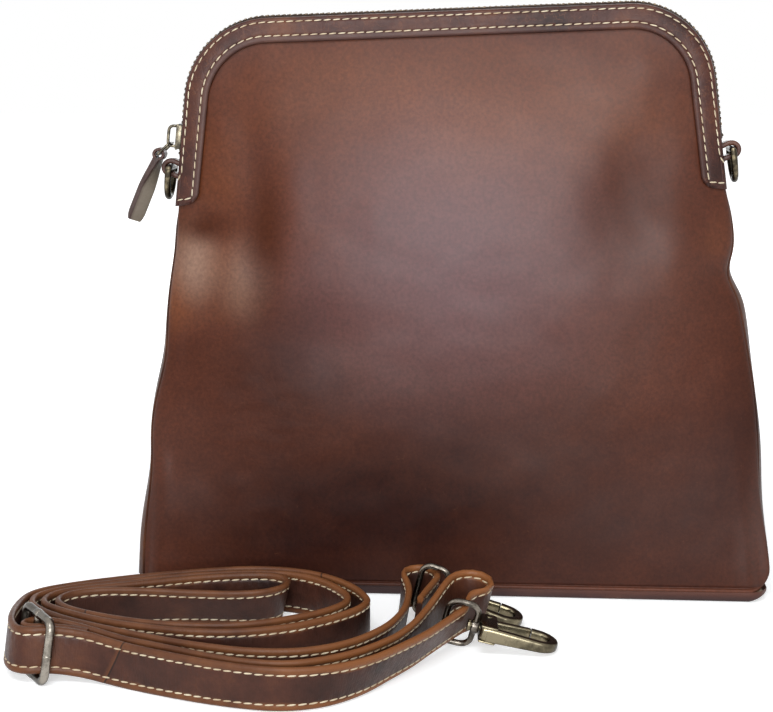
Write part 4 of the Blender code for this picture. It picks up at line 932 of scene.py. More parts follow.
for zip_name, zip_side in (("front", -1), ("rear", 1)):
    tape_mesh = skin(200, len(TAPE_SECTION), partial(tape_place, zip_side), capped=True)
    dress(zip_name + "_woven_tape", tape_mesh, zip_cloth, "bag", "zip_tape", zip_name + "_zip_tape")
    tooth_count = int((ARCH_LENGTH - 2 * TEETH_START) / TOOTH_PITCH)
    offset = 0.25 if zip_side < 0 else 0.75
    tooth_runs = [TEETH_START + (number + offset) * TOOTH_PITCH for number in range(tooth_count)]
    teeth_mesh = bmesh.new()
    for closed, reach in ((False, OPEN_REACH), (True, CLOSED_REACH)):
        tooth_places = [tooth_place(run) for run in tooth_runs if (run >= ZIP_CLOSED) == closed]
        repeated(teeth_mesh, tooth_shape(zip_side, reach), tooth_places)
    dress(zip_name + "_tooth_row", teeth_mesh, tooth_brass, "bag", "antique_brass", zip_name + "_zip_teeth",
          crisp=30)


def make_stop(name, start, low, high, node):
    """A stop: a strip of metal pinched round the tape's edge."""
    bm = bmesh.new()
    bmesh.ops.create_cube(bm, size=1.0)
    bmesh.ops.scale(bm, vec=(STOP_LENGTH, high - low, STOP_HEIGHT), verts=bm.verts)
    ease_edges(bm, bm.edges[:], 0.0003, 2)
    place = tooth_place(start + STOP_LENGTH / 2, (low + high) / 2)
    bmesh.ops.transform(bm, matrix=place, verts=bm.verts)
    dress(name, bm, tooth_brass, "bag", "antique_brass", node, crisp=30)


STOP_START = 0.0233
make_stop("front_pinched_stop", STOP_START, -TOOTH_FOOT, -OPEN_REACH, "front_zip_stop")
make_stop("rear_pinched_stop", STOP_START, OPEN_REACH, TOOTH_FOOT, "rear_zip_stop")
make_stop("end_pinched_stop", ARCH_LENGTH - STOP_START - STOP_LENGTH, -TOOTH_FOOT, TOOTH_FOOT, "zip_end_stop")

# Ring tabs and rings: a strip of hide folded round each ring's bar, its two ends sewn into the seam at
# the zip's end. The rings are bent from darkened brass wire and hang against the bag's sides.

RING_PLACE = 0.017
RING_STANDOFF = 0.0046
RING_WIRE = 0.0015
RING_HALF = 0.0075
RING_DROP = 0.0135
TAB_BEND = 0.0030
TAB_HALF_WIDTH = 0.0042
TAB_HALF_THICKNESS = 0.0012


def side_frame(run):
    """Frame on the arch's straight side: up along it, across the bag's depth, and outward."""
    base = chain_point(run, 0.0, 0.0)
    half = 0.0003 if run < ARCH_LENGTH / 2 else -0.0003
    along = (chain_point(run + half, 0.0, 0.0) - chain_point(run - half, 0.0, 0.0)).normalized()
    out = Vector((-along.z, 0.0, along.x))
    if run > ARCH_LENGTH / 2:
        out.negate()
    return framed(along, out.cross(along), out, base)


def along_line(points, share):
    """Place and direction at a share of the length of a line of points."""
    line = [Vector(point) for point in points]
    runs = [0.0]
    for first, second in zip(line, line[1:]):
        runs.append(runs[-1] + (second - first).length)
    target = min(max(share, 0.0), 1.0) * runs[-1]
    index = max(index for index, run in enumerate(runs[:-1]) if run <= target)
    part = (target - runs[index]) / max(1e-9, runs[index + 1] - runs[index])
    return line[index].lerp(line[index + 1], part), (line[index + 1] - line[index]).normalized()


def tube(points, radius, sides, closed=True):
    """Round wire bent through points that lie in one plane."""
    count = len(points)
    plane = (points[count // 3] - points[0]).cross(points[2 * count // 3] - points[0]).normalized()

    def wire_place(share_along, share_round):
        """A corner of the wire."""
        index = round(share_along * (count if closed else count - 1))
        here = points[index % count]
        after = points[(index + 1) % count] if closed else points[min(index + 1, count - 1)]
        before = points[(index - 1) % count] if closed else points[max(index - 1, 0)]
        out = (after - before).normalized().cross(plane)
        turn = 2 * math.pi * share_round
        return here + (out * math.cos(turn) + plane * math.sin(turn)) * radius

    return skin(count if closed else count - 1, sides, wire_place, capped=not closed)


# Middle line of a tab: up out of the seam, round the ring's bar and back down
TAB_LINE = [(-0.0100, -0.0050), (-0.0060, -0.0022), (-0.0036, 0.0006), (-0.0031, 0.0030)]
for angle in range(0, 181, 12):
    bend = math.radians(angle)
    TAB_LINE.append((-TAB_BEND * math.cos(bend), RING_STANDOFF + TAB_BEND * math.sin(bend)))
TAB_LINE += [(0.0030, 0.0030), (0.0022, 0.0008), (0.0020, -0.0050)]
TAB_LINE = [(up, 0.0, out) for up, out in TAB_LINE]


def oval(share_round, wide, thick, wide_power, thick_power):
    """A place round an oval, across and through it. Powers under 1 square its corners."""
    across = math.cos(2 * math.pi * share_round)
    through = math.sin(2 * math.pi * share_round)
    return (wide * math.copysign(abs(across) ** wide_power, across),
            thick * math.copysign(abs(through) ** thick_power, through))


def bent_strip(place, line, section, share_along, share_round):
    """A corner of a strip with an oval section, bent along a line in a frame's upright plane."""
    centre, way = along_line(line, share_along)
    across, through = oval(share_round, *section)
    return place @ (centre + way.cross(DEPTH_AXIS) * through + DEPTH_AXIS * across)


def ring_points(place):
    """Middle line of a D-shaped ring, hanging from its bar."""
    line = [(0.0, -RING_HALF + 2 * RING_HALF * step / 12, RING_STANDOFF) for step in range(13)]
    for step in range(1, 48):
        angle = math.pi * step / 48
        line.append((-RING_DROP * math.sin(angle) ** 0.8, RING_HALF * math.cos(angle), RING_STANDOFF))
    return [place @ Vector(point) for point in line]


tab_hide = hide_material(
    "tab_hide", (0.020, 0.0072, 0.0055), (0.075, 0.026, 0.016), (0.17, 0.060, 0.025),
    lift=0.52, mottle=0.9, gloss=0.40, relief=0.5)[0]
tab_section = (TAB_HALF_WIDTH, TAB_HALF_THICKNESS, 0.35, 0.55)
ring_metal = metal_material("ring_metal", (0.22, 0.180, 0.110), (0.045, 0.037, 0.026), -0.02, 260.0)
for ring_side, ring_run in (("left", RING_PLACE), ("right", ARCH_LENGTH - RING_PLACE)):
    ring_frame = side_frame(ring_run)
    tab_mesh = skin(72, 24, partial(bent_strip, ring_frame, TAB_LINE, tab_section), capped=True)
    dress(ring_side + "_tab_hide", tab_mesh, tab_hide, "bag", "trim_leather", ring_side + "_ring_tab")
    ring_mesh = tube(ring_points(ring_frame), RING_WIRE, 20)
    dress(ring_side + "_wire_ring", ring_mesh, ring_metal, ring_side + "_ring", "aged_metal",
          ring_side + "_d_ring")

# Zip slider, link and pull: a cast slider with a bridge on its back, a bent wire link through the
# bridge, and a folded leather pull on the link, which hangs over the ring tab and twists forward.

SLIDER = side_frame(0.0313)
SLIDER_HALF = 0.006
SLIDER_HALF_WIDTH = 0.0042
CHAIN_TOP = 0.00225
PLATE_TOP = 0.00335


def eased_block(bm, place, low, high, ease, segments=2):
    """Add a block between two corners of a local frame, its edges eased."""
    made = bmesh.ops.create_cube(bm, size=1.0)["verts"]
    size = Vector(high) - Vector(low)
    bmesh.ops.scale(bm, vec=size, verts=made)
    bmesh.ops.translate(bm, vec=(Vector(low) + Vector(high)) / 2, verts=made)
    eased = ease_edges(bm, list({edge for vert in made for edge in vert.link_edges}), ease, segments)
    corners = {vert for face in eased["faces"] for vert in face.verts}
    corners |= {vert for vert in made if vert.is_valid}
    bmesh.ops.transform(bm, matrix=place, verts=list(corners))


# Middle line of the slider's bridge: up along the slider and out from its plate
BRIDGE_LINE = [(up, 0.0, PLATE_TOP + out) for up, out in (
    (-0.0046, -0.0004), (-0.0046, 0.0026), (-0.0041, 0.0035), (-0.0030, 0.0039), (0.0, 0.0040),
    (0.0030, 0.0039), (0.0041, 0.0033), (0.0046, 0.0022), (0.0047, -0.0004))]


def make_slider():
    """The slider: two plates joined by a wedge, flanges along the outer one, and a bridge on its back."""
    bm = skin(40, 16, partial(bent_strip, SLIDER, BRIDGE_LINE, (0.0011, 0.0007, 0.6, 0.6)), capped=True)
    for low, high, ease in (
            ((-SLIDER_HALF, -SLIDER_HALF_WIDTH, CHAIN_TOP),
             (SLIDER_HALF, SLIDER_HALF_WIDTH, PLATE_TOP), 0.0005),
            ((-0.0055, -SLIDER_HALF_WIDTH, 0.0006), (0.0055, -0.0034, PLATE_TOP - 0.0003), 0.0003),
            ((-0.0055, 0.0034, 0.0006), (0.0055, SLIDER_HALF_WIDTH, PLATE_TOP - 0.0003), 0.0003),
            ((-SLIDER_HALF, -0.0025, -0.00135), (SLIDER_HALF, 0.0025, -0.00025), 0.0004),
            ((-0.0057, -0.0006, -0.0008), (-0.0027, 0.0006, CHAIN_TOP + 0.0005), 0.0002)):
        eased_block(bm, SLIDER, low, high, ease)
    return bm


slider_metal = metal_material("slider_metal", (0.24, 0.205, 0.145), (0.062, 0.053, 0.040), 0.02, 300.0)
dress("cast_slider", make_slider(), slider_metal, "zip_slider", "aged_metal", "zip_slider", crisp=35)

LINK_ANGLE = math.radians(46)
LINK_LENGTH = 0.0076
LINK_WIRE = 0.0006
PULL_ANGLE = math.radians(23)
PULL_LENGTH = 0.032
PULL_WIDTH = 0.008
PULL_EYE = 0.0012
PULL_TWIST = math.radians(55)
PULL_HALF_THICKNESS = 0.0015
PULL_TIP_SHARE = 0.14
FOLD_RADIUS = 0.0022
FOLD_HALF_THICKNESS = 0.0008
LINK_PIVOT = SLIDER @ Vector((-0.0031, 0.0, PLATE_TOP + 0.0024))
LINK_DOWN = Vector((-math.sin(LINK_ANGLE), 0.0, -math.cos(LINK_ANGLE)))
PULL_PIVOT = LINK_PIVOT + LINK_DOWN * LINK_LENGTH
PULL_DOWN = Vector((-math.sin(PULL_ANGLE), 0.0, -math.cos(PULL_ANGLE)))
PULL_FACE = PULL_DOWN.cross(DEPTH_AXIS)


def rounded_loop(half_length, half_breadth, corner, steps=8):
    """Points round a rectangle with rounded corners, centred on its origin."""
    points = []
    for quarter, (x_side, y_side) in enumerate(((1, 1), (-1, 1), (-1, -1), (1, -1))):
        for step in range(steps + 1):
            angle = (quarter + step / steps) * math.pi / 2
            x = x_side * (half_length - corner) + corner * math.cos(angle)
            y = y_side * (half_breadth - corner) + corner * math.sin(angle)
            points.append((x, y))
    return points


link_points = [
    LINK_PIVOT + LINK_DOWN * (down + LINK_LENGTH / 2) + DEPTH_AXIS * across
    for down, across in rounded_loop(LINK_LENGTH / 2, (PULL_WIDTH + 0.0032) / 2, LINK_LENGTH / 4)]
dress("wire_link", tube(link_points, LINK_WIRE, 14), slider_metal, "zip_link", "aged_metal", "zip_link")


def pull_place(share_along, share_round):
    """A corner of the pull: a doubled strip from its folded eye to its tip, twisting as it hangs."""
    run = PULL_EYE * 0.5 + share_along * (PULL_LENGTH - PULL_EYE * 0.5)
    twist = PULL_TWIST * min(1.0, run / (PULL_LENGTH / 2))
    wide = DEPTH_AXIS * math.cos(twist) + PULL_FACE * math.sin(twist)
    tip = max(0.0, share_along - 1 + PULL_TIP_SHARE) / PULL_TIP_SHARE
    half_wide = PULL_WIDTH / 2 * math.sqrt(1 - 0.40 * tip ** 2)
    half_thick = PULL_HALF_THICKNESS * (1 - 0.35 * tip) * (1 + 0.25 * hill(run, 0.0, 0.004))
    across, through = oval(share_round, half_wide, half_thick, 0.28, 0.5)
    return PULL_PIVOT + PULL_DOWN * (run + PULL_EYE) + wide * across + PULL_DOWN.cross(wide) * through


def fold_place(share_along, share_round):
    """A corner of the fold of the pull round its link."""
    angle = math.radians(-160 + 320 * share_along)
    out = PULL_FACE * math.sin(angle) - PULL_DOWN * math.cos(angle)
    across, through = oval(share_round, PULL_WIDTH / 2, FOLD_HALF_THICKNESS, 0.3, 0.5)
    return PULL_PIVOT + out * (FOLD_RADIUS + through) + DEPTH_AXIS * across


def pull_material():
    """Pull hide: its grain side dark, and the flesh side that it shows as it twists a pale grey brown."""
    material, tree, shader, hide = hide_material(
        "pull_hide", (0.020, 0.0095, 0.0085), (0.070, 0.040, 0.034), (0.14, 0.075, 0.055),
        lift=0.50, mottle=0.7, gloss=0.45, relief=0.5)
    across = around(tree)
    flesh = math_node(tree, "MULTIPLY", ranged(tree, across, 0.02, 0.05), ranged(tree, across, 0.30, 0.27))
    colour = mixed(tree, flesh, hide.outputs["Color"], (0.185, 0.150, 0.115, 1.0))
    tree.links.new(colour, shader.inputs["Base Color"])
    return material


pull_mesh = skin(40, 28, pull_place, capped=True)
dress("pull_strip", pull_mesh, pull_material(), "zip_pull", "trim_leather", "pull_tab")
dress("pull_fold", skin(28, 20, fold_place, capped=True), tab_hide, "zip_pull", "trim_leather")

# Shoulder strap: two plies of hide glued back to back, stitched along both edges and rubbed tan there.
# It lies on its edge in loose flat turns, one end sewn round a clip's eye, the other round its slider.

STRAP_WIDTH = 0.019
STRAP_HALF = 0.0014
STRAP_STATIONS = 760
STRAP_STITCH_LIFT = 0.00108
# Route of the strap's lower edge: place in millimetres and lean in degrees
STRAP_ROUTE = (
    (-13.2, -82, 0, -10), (-11.6, -74, 1.2, -13), (-9.8, -67.5, 2.5, -15), (-8.9, -62, 3.2, -15),
    (-10.8, -56.8, 3.4, -9), (-16, -55.2, 3.2, 0), (-19.8, -59.2, 2.6, 6), (-20.2, -66.2, 1.5, 9),
    (-19.3, -74, 0.5, 10), (-19, -86, 0, 10), (-20.8, -99, 0, 13), (-24.8, -113, 0, 15),
    (-30, -125, 0, 14), (-37, -136, 0, 12), (-46, -145, 0, 8), (-58, -150.5, 0, 5),
    (-74, -151.5, 0, 3), (-90, -149, 0, 0), (-107, -143.5, 0, 0), (-120, -138, 0, 0),
    (-134, -132, 0, 0), (-149, -124.5, 0, 0), (-160, -117.5, 0, 0), (-168, -111, 0, -1),
    (-173.5, -105, 0, -3), (-175.3, -100.5, 0, -4), (-175.2, -96, 0, -3), (-173, -91.3, 0, -2),
    (-167.5, -86, 0, 0), (-159, -80.3, 0, 0), (-151, -76.5, 0, 0), (-141, -72, 0, 0),
    (-131, -67.8, 0, 0), (-118, -63, 0, 0), (-106, -59.3, 0, 0), (-94, -56.8, 0, 0),
    (-82, -55.6, 0, 0), (-72, -56.6, 0, 0), (-63, -59.8, 0, 0), (-55, -65.5, 0, 0),
    (-48.5, -73, 0, 0), (-43.5, -81, 0, 0), (-41.5, -88, 0, 0), (-42.2, -94, 0, 0),
    (-46, -100.5, 0, 0), (-52, -107, 0, 0), (-59, -112.3, 0, 0), (-67, -117.2, 0, 0),
    (-76, -121.3, 0, 0), (-86, -124.2, 0, 0), (-98, -125.4, 0, 0), (-110, -125, 0, 0),
    (-123, -122.8, 0, 0), (-136, -118.8, 0, 0), (-148, -113.6, 0, 0), (-156, -108.8, 0, 0),
    (-161, -104, 0, 0), (-163.3, -99.5, 0, 0), (-163, -95, 0, 0), (-160, -90.3, 0, 0),
    (-154.5, -86.3, 0, -2), (-146.5, -83, 0, -5), (-137, -80.2, 0, -11), (-126, -77.4, 0, -18),
    (-115, -75.6, 0, -23), (-104, -74.8, 0, -25), (-95, -75, 0, -25), (-86.5, -75, 0, -23),
    (-80, -73.6, 0, -21), (-75.8, -70.8, 0, -18), (-74, -67.4, 0, -14), (-74.8, -64, 0, -9),
    (-78.4, -61.2, 0, -5), (-85, -59.9, 0, -2), (-94, -60.5, 0, 0), (-105, -63.2, 0, 0),
    (-116, -67, 0, 0), (-126, -71, 0, 0), (-136, -75.2, 0, 0), (-146, -79.2, 0, 0),
    (-155, -82.8, 0, 0), (-163, -87, 0, 0), (-167.5, -91.5, 0, 0), (-169.3, -96.5, 0, 0),
    (-168.8, -101.5, 0, 0), (-165.5, -106, 0, 0), (-159, -111, 0, 0), (-151, -116, 0, 0),
    (-142, -120.8, 0, 0), (-131, -125.2, 0, 0), (-118, -129, 0, 0), (-105, -131.5, 0, 0),
    (-93, -132.3, 0, 0), (-83, -131.6, 0, 0), (-73, -129, 0, 0), (-63, -125, 0, 0),
    (-55, -120, 0, 0), (-47.5, -114, 0, 0), (-41, -107.5, 0, 0), (-36.5, -101.5, 0, 0),
    (-34, -96, 0, 0), (-33, -90, 0, 0), (-35, -83.5, 0, 0), (-39, -75.5, 0, 0),
    (-45.5, -67, 0, 0), (-53, -60.2, 0, 0), (-62, -54.8, 0, 0), (-71.5, -51.8, 0, 0),
    (-81, -50.6, 0, 0), (-92, -51.2, 0, 0), (-104, -54, 0, 0), (-118, -58.4, 0, 0),
    (-131, -63.4, 0, 0), (-143, -68.6, 0, 0), (-155, -74.4, 0, 0), (-165.6, -80.6, 0, 0),
    (-172.8, -86, 0, 0), (-177.4, -92, 0, 1), (-179.5, -98.6, 0, 3), (-180.2, -106, 0.6, 6),
    (-179.4, -114, 1.8, 8), (-177.8, -123, 3.2, 8), (-176, -132, 4, 8), (-173.8, -139.5, 4, 9),
    (-169.5, -146, 4, 9), (-163, -148.4, 4, 7), (-156, -147.2, 4, 6), (-149, -145.9, 3.2, 5),
    (-141, -145.7, 2, 4), (-133, -147, 0.8, 2), (-123, -150.2, 0, 0), (-112, -155, 0, -2),
    (-99, -160, 0, -4), (-87, -164, 0, -6), (-75, -167, 0, -8), (-63, -168.5, 0, -10),
    (-52, -167, 0, -13), (-41, -161.5, 0, -17), (-30.5, -150.5, 0, -22), (-21, -136, 0.5, -26),
    (-13, -123.5, 1.2, -28), (-7, -112.5, 2, -29), (-2, -103.8, 2.7, -29), (2.2, -96.4, 3.2, -28),
    (6.4, -90.6, 3.9, -22), (10.8, -87.2, 4.8, -14), (14.6, -84.4, 5.8, -8), (15.6, -80.9, 7.2, -5),
    (12.8, -78.2, 8.4, -5), (8.6, -77.4, 8.8, -3), (4.4, -79, 8.6, 2), (0.5, -83, 7.4, 7),
    (-4.2, -90, 5.4, 11), (-9.8, -101.5, 2.8, 14), (-16, -115.5, 1, 17), (-22, -127, 0, 18),
    (-29, -139, 0, 16), (-36.5, -148.5, 0, 14), (-45.5, -156, 0, 12), (-54.5, -160.8, 0, 10),
    (-64, -162.6, 0, 8), (-76, -161.5, 0, 6), (-88, -158, 0, 4), (-100, -153.5, 0, 2),
    (-114, -147.8, 0, 0), (-124, -143.6, 0, 0), (-135, -139.8, 0.8, -2), (-144, -137.8, 2, -4),
    (-152, -136.8, 3.3, -5), (-158.5, -136.2, 4, -6), (-163.8, -136.1, 4, -4), (-167.3, -138.3, 4, 3),
    (-167.5, -141.9, 4, 7), (-164.2, -144.4, 4, 7), (-158.5, -143.8, 4, 5), (-151, -142, 3.2, 4),
    (-143, -141.8, 2, 4),
)


def strap_stations():
    """Even stations along a smooth curve through the route: lower edge, lean and run."""
    knots = np.array(STRAP_ROUTE, float)
    knots[:, :3] *= 0.001
    knots[:, 3] = np.radians(knots[:, 3])
    ends = np.vstack((2 * knots[0] - knots[1], knots, 2 * knots[-1] - knots[-2]))
    fine = []
    for index in range(1, len(ends) - 2):
        before, first, second, after = ends[index - 1:index + 3]
        for share in np.linspace(0, 1, 12, endpoint=False):
            bend = 2 * before - 5 * first + 4 * second - after
            swing = 3 * first - before - 3 * second + after
            fine.append(first + 0.5 * share * ((second - before) + share * (bend + share * swing)))
    fine.append(knots[-1])
    fine = np.array(fine)
    runs = np.concatenate(([0.0], np.cumsum(np.linalg.norm(np.diff(fine[:, :3], axis=0), axis=1))))
    even = np.linspace(0.0, runs[-1], STRAP_STATIONS)
    return np.column_stack([np.interp(even, runs, fine[:, column]) for column in range(4)] + [even])


STATIONS = strap_stations()
STRAP_LENGTH = STATIONS[-1, 4]


def strap_frame(index):
    """Lower edge of the strap at a station, the way up its width and the way out of its left face."""
    lean = STATIONS[index, 3]
    place = Vector(STATIONS[index, :3])
    place.z += abs(math.sin(lean)) * STRAP_HALF + 0.00015
    ahead = Vector(STATIONS[min(index + 2, len(STATIONS) - 1), :3])
    behind = Vector(STATIONS[max(index - 2, 0), :3])
    along = (ahead - behind).normalized()
    left = Vector((-along.y, along.x, 0.0)).normalized()
    up = along.cross(left)
    width_way = up * math.cos(lean) + left * math.sin(lean)
    return place, width_way, along.cross(width_way) * -1


STRAP_FRAMES = [strap_frame(index) for index in range(len(STATIONS))]

# Half section of the strap: heights up its width and half thicknesses. Both edges are rolled into a bead,
# with a groove under each stitch row and a flatter face between.
STRAP_ROW = 0.00305
STRAP_SECTION = [
    (0.00000, 0.00018), (0.00009, 0.00050), (0.00033, 0.00090), (0.00070, 0.00121), (0.00116, 0.00137),
    (0.00160, 0.00140), (0.00210, 0.00135), (0.00255, 0.00119), (0.00282, 0.00104), (STRAP_ROW, 0.00094),
    (0.00330, 0.00104), (0.00360, 0.00116), (0.00430, 0.00124), (0.00580, 0.00127), (0.00780, 0.00128)]
STRAP_SECTION += [(STRAP_WIDTH - height, half) for height, half in reversed(STRAP_SECTION)]


def section_at(share_round):
    """Height up the strap's width and offset from its middle, up its left face and down its right."""
    count = len(STRAP_SECTION)
    index = round(share_round * 2 * count) % (2 * count)
    height, half = STRAP_SECTION[min(index, 2 * count - 1 - index)]
    return height, half if index < count else -half


def strap_place(share_along, share_round):
    """A corner of the strap."""
    edge, up, face = STRAP_FRAMES[round(share_along * (len(STATIONS) - 1))]
    height, offset = section_at(share_round)
    return edge + up * height + face * offset


def strap_skin():
    """The strap's sheet, with its height and run in millimetres laid out flat as its map."""
    bm = skin(len(STATIONS) - 1, 2 * len(STRAP_SECTION), strap_place, capped=True)
    flat = bm.loops.layers.uv["UVMap"]
    for face in bm.faces:
        for loop in face.loops:
            share_round, share_along = loop[flat].uv
            loop[flat].uv = (section_at(share_round)[0] * 1000, share_along * STRAP_LENGTH * 1000)
    return bm


# Where lengths of hide are spliced, in millimetres along the strap, cut on the slant
SPLICES = (558.7, 1000.7, 1238.7)


def strap_material():
    """Strap hide: dark on its faces, rubbed to tan along both beads, spliced, puckered by stitches."""
    material, tree, shader, hide = hide_material(
        "strap_hide", (0.015, 0.0048, 0.0032), (0.058, 0.0190, 0.0110), (0.120, 0.041, 0.017),
        lift=0.42, mottle=0.7, gloss=0.42, relief=0.30, shine=0.22)
    flat = add(tree, "ShaderNodeUVMap", uv_map="UVMap").outputs[0]
    height, run = axis(tree, flat, "X"), axis(tree, flat, "Y")
    from_middle = off(tree, height, STRAP_WIDTH * 500)
    wear = cloudy(tree, spot(hide), 95.0, 4.0)
    ragged = math_node(tree, "ADD", from_middle, ranged(tree, wear, 0.3, 0.7, -0.7, 0.7))
    tan = mixed(
        tree, ranged(tree, wear, 0.35, 0.65), (0.085, 0.029, 0.012, 1.0), (0.135, 0.049, 0.019, 1.0))
    handled = ranged(tree, axis(tree, spot(hide), "X"), -0.080, -0.020, 0.0, 0.85)
    tan = mixed(tree, handled, tan, (0.235, 0.083, 0.026, 1.0))
    colour = mixed(tree, ranged(tree, ragged, 5.4, 7.3, smooth=True), hide.outputs["Color"], tan)
    slanted = math_node(tree, "SUBTRACT", run, math_node(tree, "MULTIPLY", height, 0.45))
    for splice in SPLICES:
        past = math_node(tree, "SUBTRACT", slanted, splice)
        lip = ranged(tree, past, -2.6, -0.5, 0.0, 0.5)
        lip = math_node(tree, "MULTIPLY", lip, ranged(tree, past, 0.0, -0.3))
        colour = mixed(tree, lip, colour, (0.160, 0.055, 0.020, 1.0))
        gap = ranged(tree, off(tree, slanted, splice), 0.60, 0.20, 0.0, 0.85)
        colour = mixed(tree, gap, colour, (0.006, 0.003, 0.002, 1.0))
    tree.links.new(colour, shader.inputs["Base Color"])
    tug = math_node(tree, "SINE", math_node(tree, "MULTIPLY", run, 2 * math.pi / (STITCH_PITCH * 1000)))
    near_row = ranged(tree, off(tree, from_middle, 5.6), 2.6, 0.4)
    pucker = math_node(tree, "MULTIPLY", math_node(tree, "MULTIPLY", tug, near_row), 0.35)
    streak = add(tree, "ShaderNodeCombineXYZ", {0: math_node(tree, "MULTIPLY", height, 0.12), 1: run})
    fibres = cloudy(tree, streak.outputs[0], 1.6, 3.0)
    relief = math_node(tree, "ADD", pucker, math_node(tree, "MULTIPLY", fibres, 0.9))
    relief = math_node(tree, "ADD", relief, math_node(tree, "MULTIPLY", hide.outputs["Height"], 0.5))
    rough_bump(tree, shader, relief, 0.0004, 0.45)
    return material


strap_hide = strap_material()
strap_piece = dress("stitched_strap", strap_skin(), strap_hide, "strap", "strap_leather", "strap", crisp=60)


def strap_stitches():
    """Rows of stitches near both edges, on both faces."""
    bm = bmesh.new()
    for height in (STRAP_ROW, STRAP_WIDTH - STRAP_ROW):
        for side in (1, -1):
            offset = side * STRAP_STITCH_LIFT
            points = [edge + up * height + face * offset for edge, up, face in STRAP_FRAMES[2:-2]]
            normals = [face * side for edge, up, face in STRAP_FRAMES[2:-2]]
            sew(bm, points, normals)
    return bm


strap_thread = dress("strap_stitches", strap_stitches(), thread_cream, "strap", "strap_leather")

# Strap slider: a three-bar frame of darkened wire, brazed closed. The strap's end is sewn round its
# middle bar and the running part passes outside that, behind the near bar.

GLIDE_SLOT = STRAP_WIDTH + 0.0016
GLIDE_WIRE = 0.0018
GLIDE_HALF = 0.0136
GLIDE_LEAN = math.radians(10)
GLIDE_TURN = math.radians(-54)
GLIDE_PLACE = (-0.1621, -0.1390)


def add_rod(bm, place, start, end, radius, segments=20, ease=0.0):
    """Add a round rod between two points of a local frame, its ends eased."""
    first = place @ Vector(start)
    reach = place @ Vector(end) - first
    turn = Matrix.Translation(first + reach / 2) @ reach.to_track_quat("Z", "Y").to_matrix().to_4x4()
    made = bmesh.ops.create_cone(
        bm, cap_ends=True, segments=segments, radius1=radius, radius2=radius, depth=reach.length,
        matrix=turn)["verts"]
    if ease:
        rims = [edge for edge in {edge for vert in made for edge in vert.link_edges} if any(
            len(face.verts) > 4 for face in edge.link_faces)]
        ease_edges(bm, rims, ease, 2)


def make_glide():
    """The slider: a wire frame with a middle bar, swollen where the bar and the frame's ends are brazed."""
    along = Vector((math.cos(GLIDE_TURN), math.sin(GLIDE_TURN), 0.0))
    inward = Vector((-along.y, along.x, 0.0))
    up = Vector((0.0, 0.0, math.cos(GLIDE_LEAN))) + inward * math.sin(GLIDE_LEAN)
    rail = GLIDE_SLOT / 2 + GLIDE_WIRE
    place = framed(along, up, along.cross(up), Vector((*GLIDE_PLACE, rail * up.z + GLIDE_WIRE)))
    outline = rounded_loop(GLIDE_HALF, rail, 2 * GLIDE_WIRE)
    bm = tube([place @ Vector((x, y, 0.0)) for x, y in outline], GLIDE_WIRE, 20)
    add_rod(bm, place, (0, -rail, 0), (0, rail, 0), GLIDE_WIRE * 0.98)
    for height in (-rail, rail):
        add_rod(bm, place, (-0.0021, height, 0), (0.0021, height, 0), GLIDE_WIRE * 1.12, 24, 0.0005)
    add_rod(bm, place, (GLIDE_HALF, -0.0021, 0), (GLIDE_HALF, -0.0007, 0), GLIDE_WIRE * 1.06, 24, 0.0002)
    return bm


glide_metal = metal_material("glide_metal", (0.33, 0.295, 0.250), (0.115, 0.100, 0.083), 0.06, 110.0)
dress("three_bar_slider", make_glide(), glide_metal, "strap", "aged_metal", "strap_slider")

# Swivel clips: each has a wire eye with a boss, a cast hook whose headed stem turns in the boss, and a
# sprung gate on a rivet. They are antique brass, bright where they rub.

EYE_SLOT = STRAP_WIDTH + 0.0015
EYE_WIRE = 0.0013
EYE_HALF = 0.005
EYE_CORNER = 0.0046
BOSS_START = EYE_HALF - 0.00015
BOSS_LENGTH = 0.0032
BLOCK_START = BOSS_START + BOSS_LENGTH + 0.0003
CLIP_LENGTH = 0.0335
CLIP_HALF = 0.0083
CLIP_THICK = 0.0037
CLIP_WALL = 0.004
CLIP_TAPER = 0.42
BLOCK_LENGTH = 0.0072
HOOK_LINE = CLIP_HALF - CLIP_WALL / 2
HOOK_END = BLOCK_START + CLIP_LENGTH
NOSE_CENTRE = HOOK_END - CLIP_HALF
NOSE_TIP = HOOK_END - 0.0112
RIVET = Vector((BLOCK_START + 0.0036, -(HOOK_LINE - 0.0013), 0.0))
clip_places = {
    "a": (Vector((0.0064, -0.0990)), Vector((0.97, 0.03, -0.23)), Vector((0.26, -0.40, 0.88))),
    "b": (Vector((-0.0070, -0.0623)), Vector((0.95, -0.17, -0.25)), Vector((0.34, -0.12, 0.93)))}


UPRIGHT = Vector((0.0, 0.0, 1.0))


def clip_frames(letter):
    """Frame of a clip's eye, and of its body turned flat to the floor; both run along the swivel."""
    stand, point, lean = clip_places[letter]
    along = point.normalized()
    rise = (lean - along * lean.dot(along)).normalized()
    straight_along = EYE_HALF + EYE_WIRE - EYE_CORNER
    straight_up = EYE_SLOT / 2 + EYE_WIRE - EYE_CORNER
    height = straight_along * abs(along.z) + straight_up * rise.z + EYE_CORNER * math.hypot(along.z, rise.z)
    centre = Vector((*stand, height + EYE_WIRE + 0.00015))
    under = (along * along.z - UPRIGHT).normalized()
    return framed(along, rise, along.cross(rise), centre), framed(along, under.cross(along), under, centre)


def make_eye(place):
    """The eye: a wire loop with a round boss brazed to its end."""
    bm = tube(
        [place @ Vector((x, y, 0.0)) for x, y in rounded_loop(
            EYE_HALF + EYE_WIRE, EYE_SLOT / 2 + EYE_WIRE, EYE_CORNER, 12)],
        EYE_WIRE, 20)
    add_rod(bm, place, (BOSS_START, 0, 0), (BOSS_START + BOSS_LENGTH, 0, 0), 0.003, 28, 0.0006)
    return bm


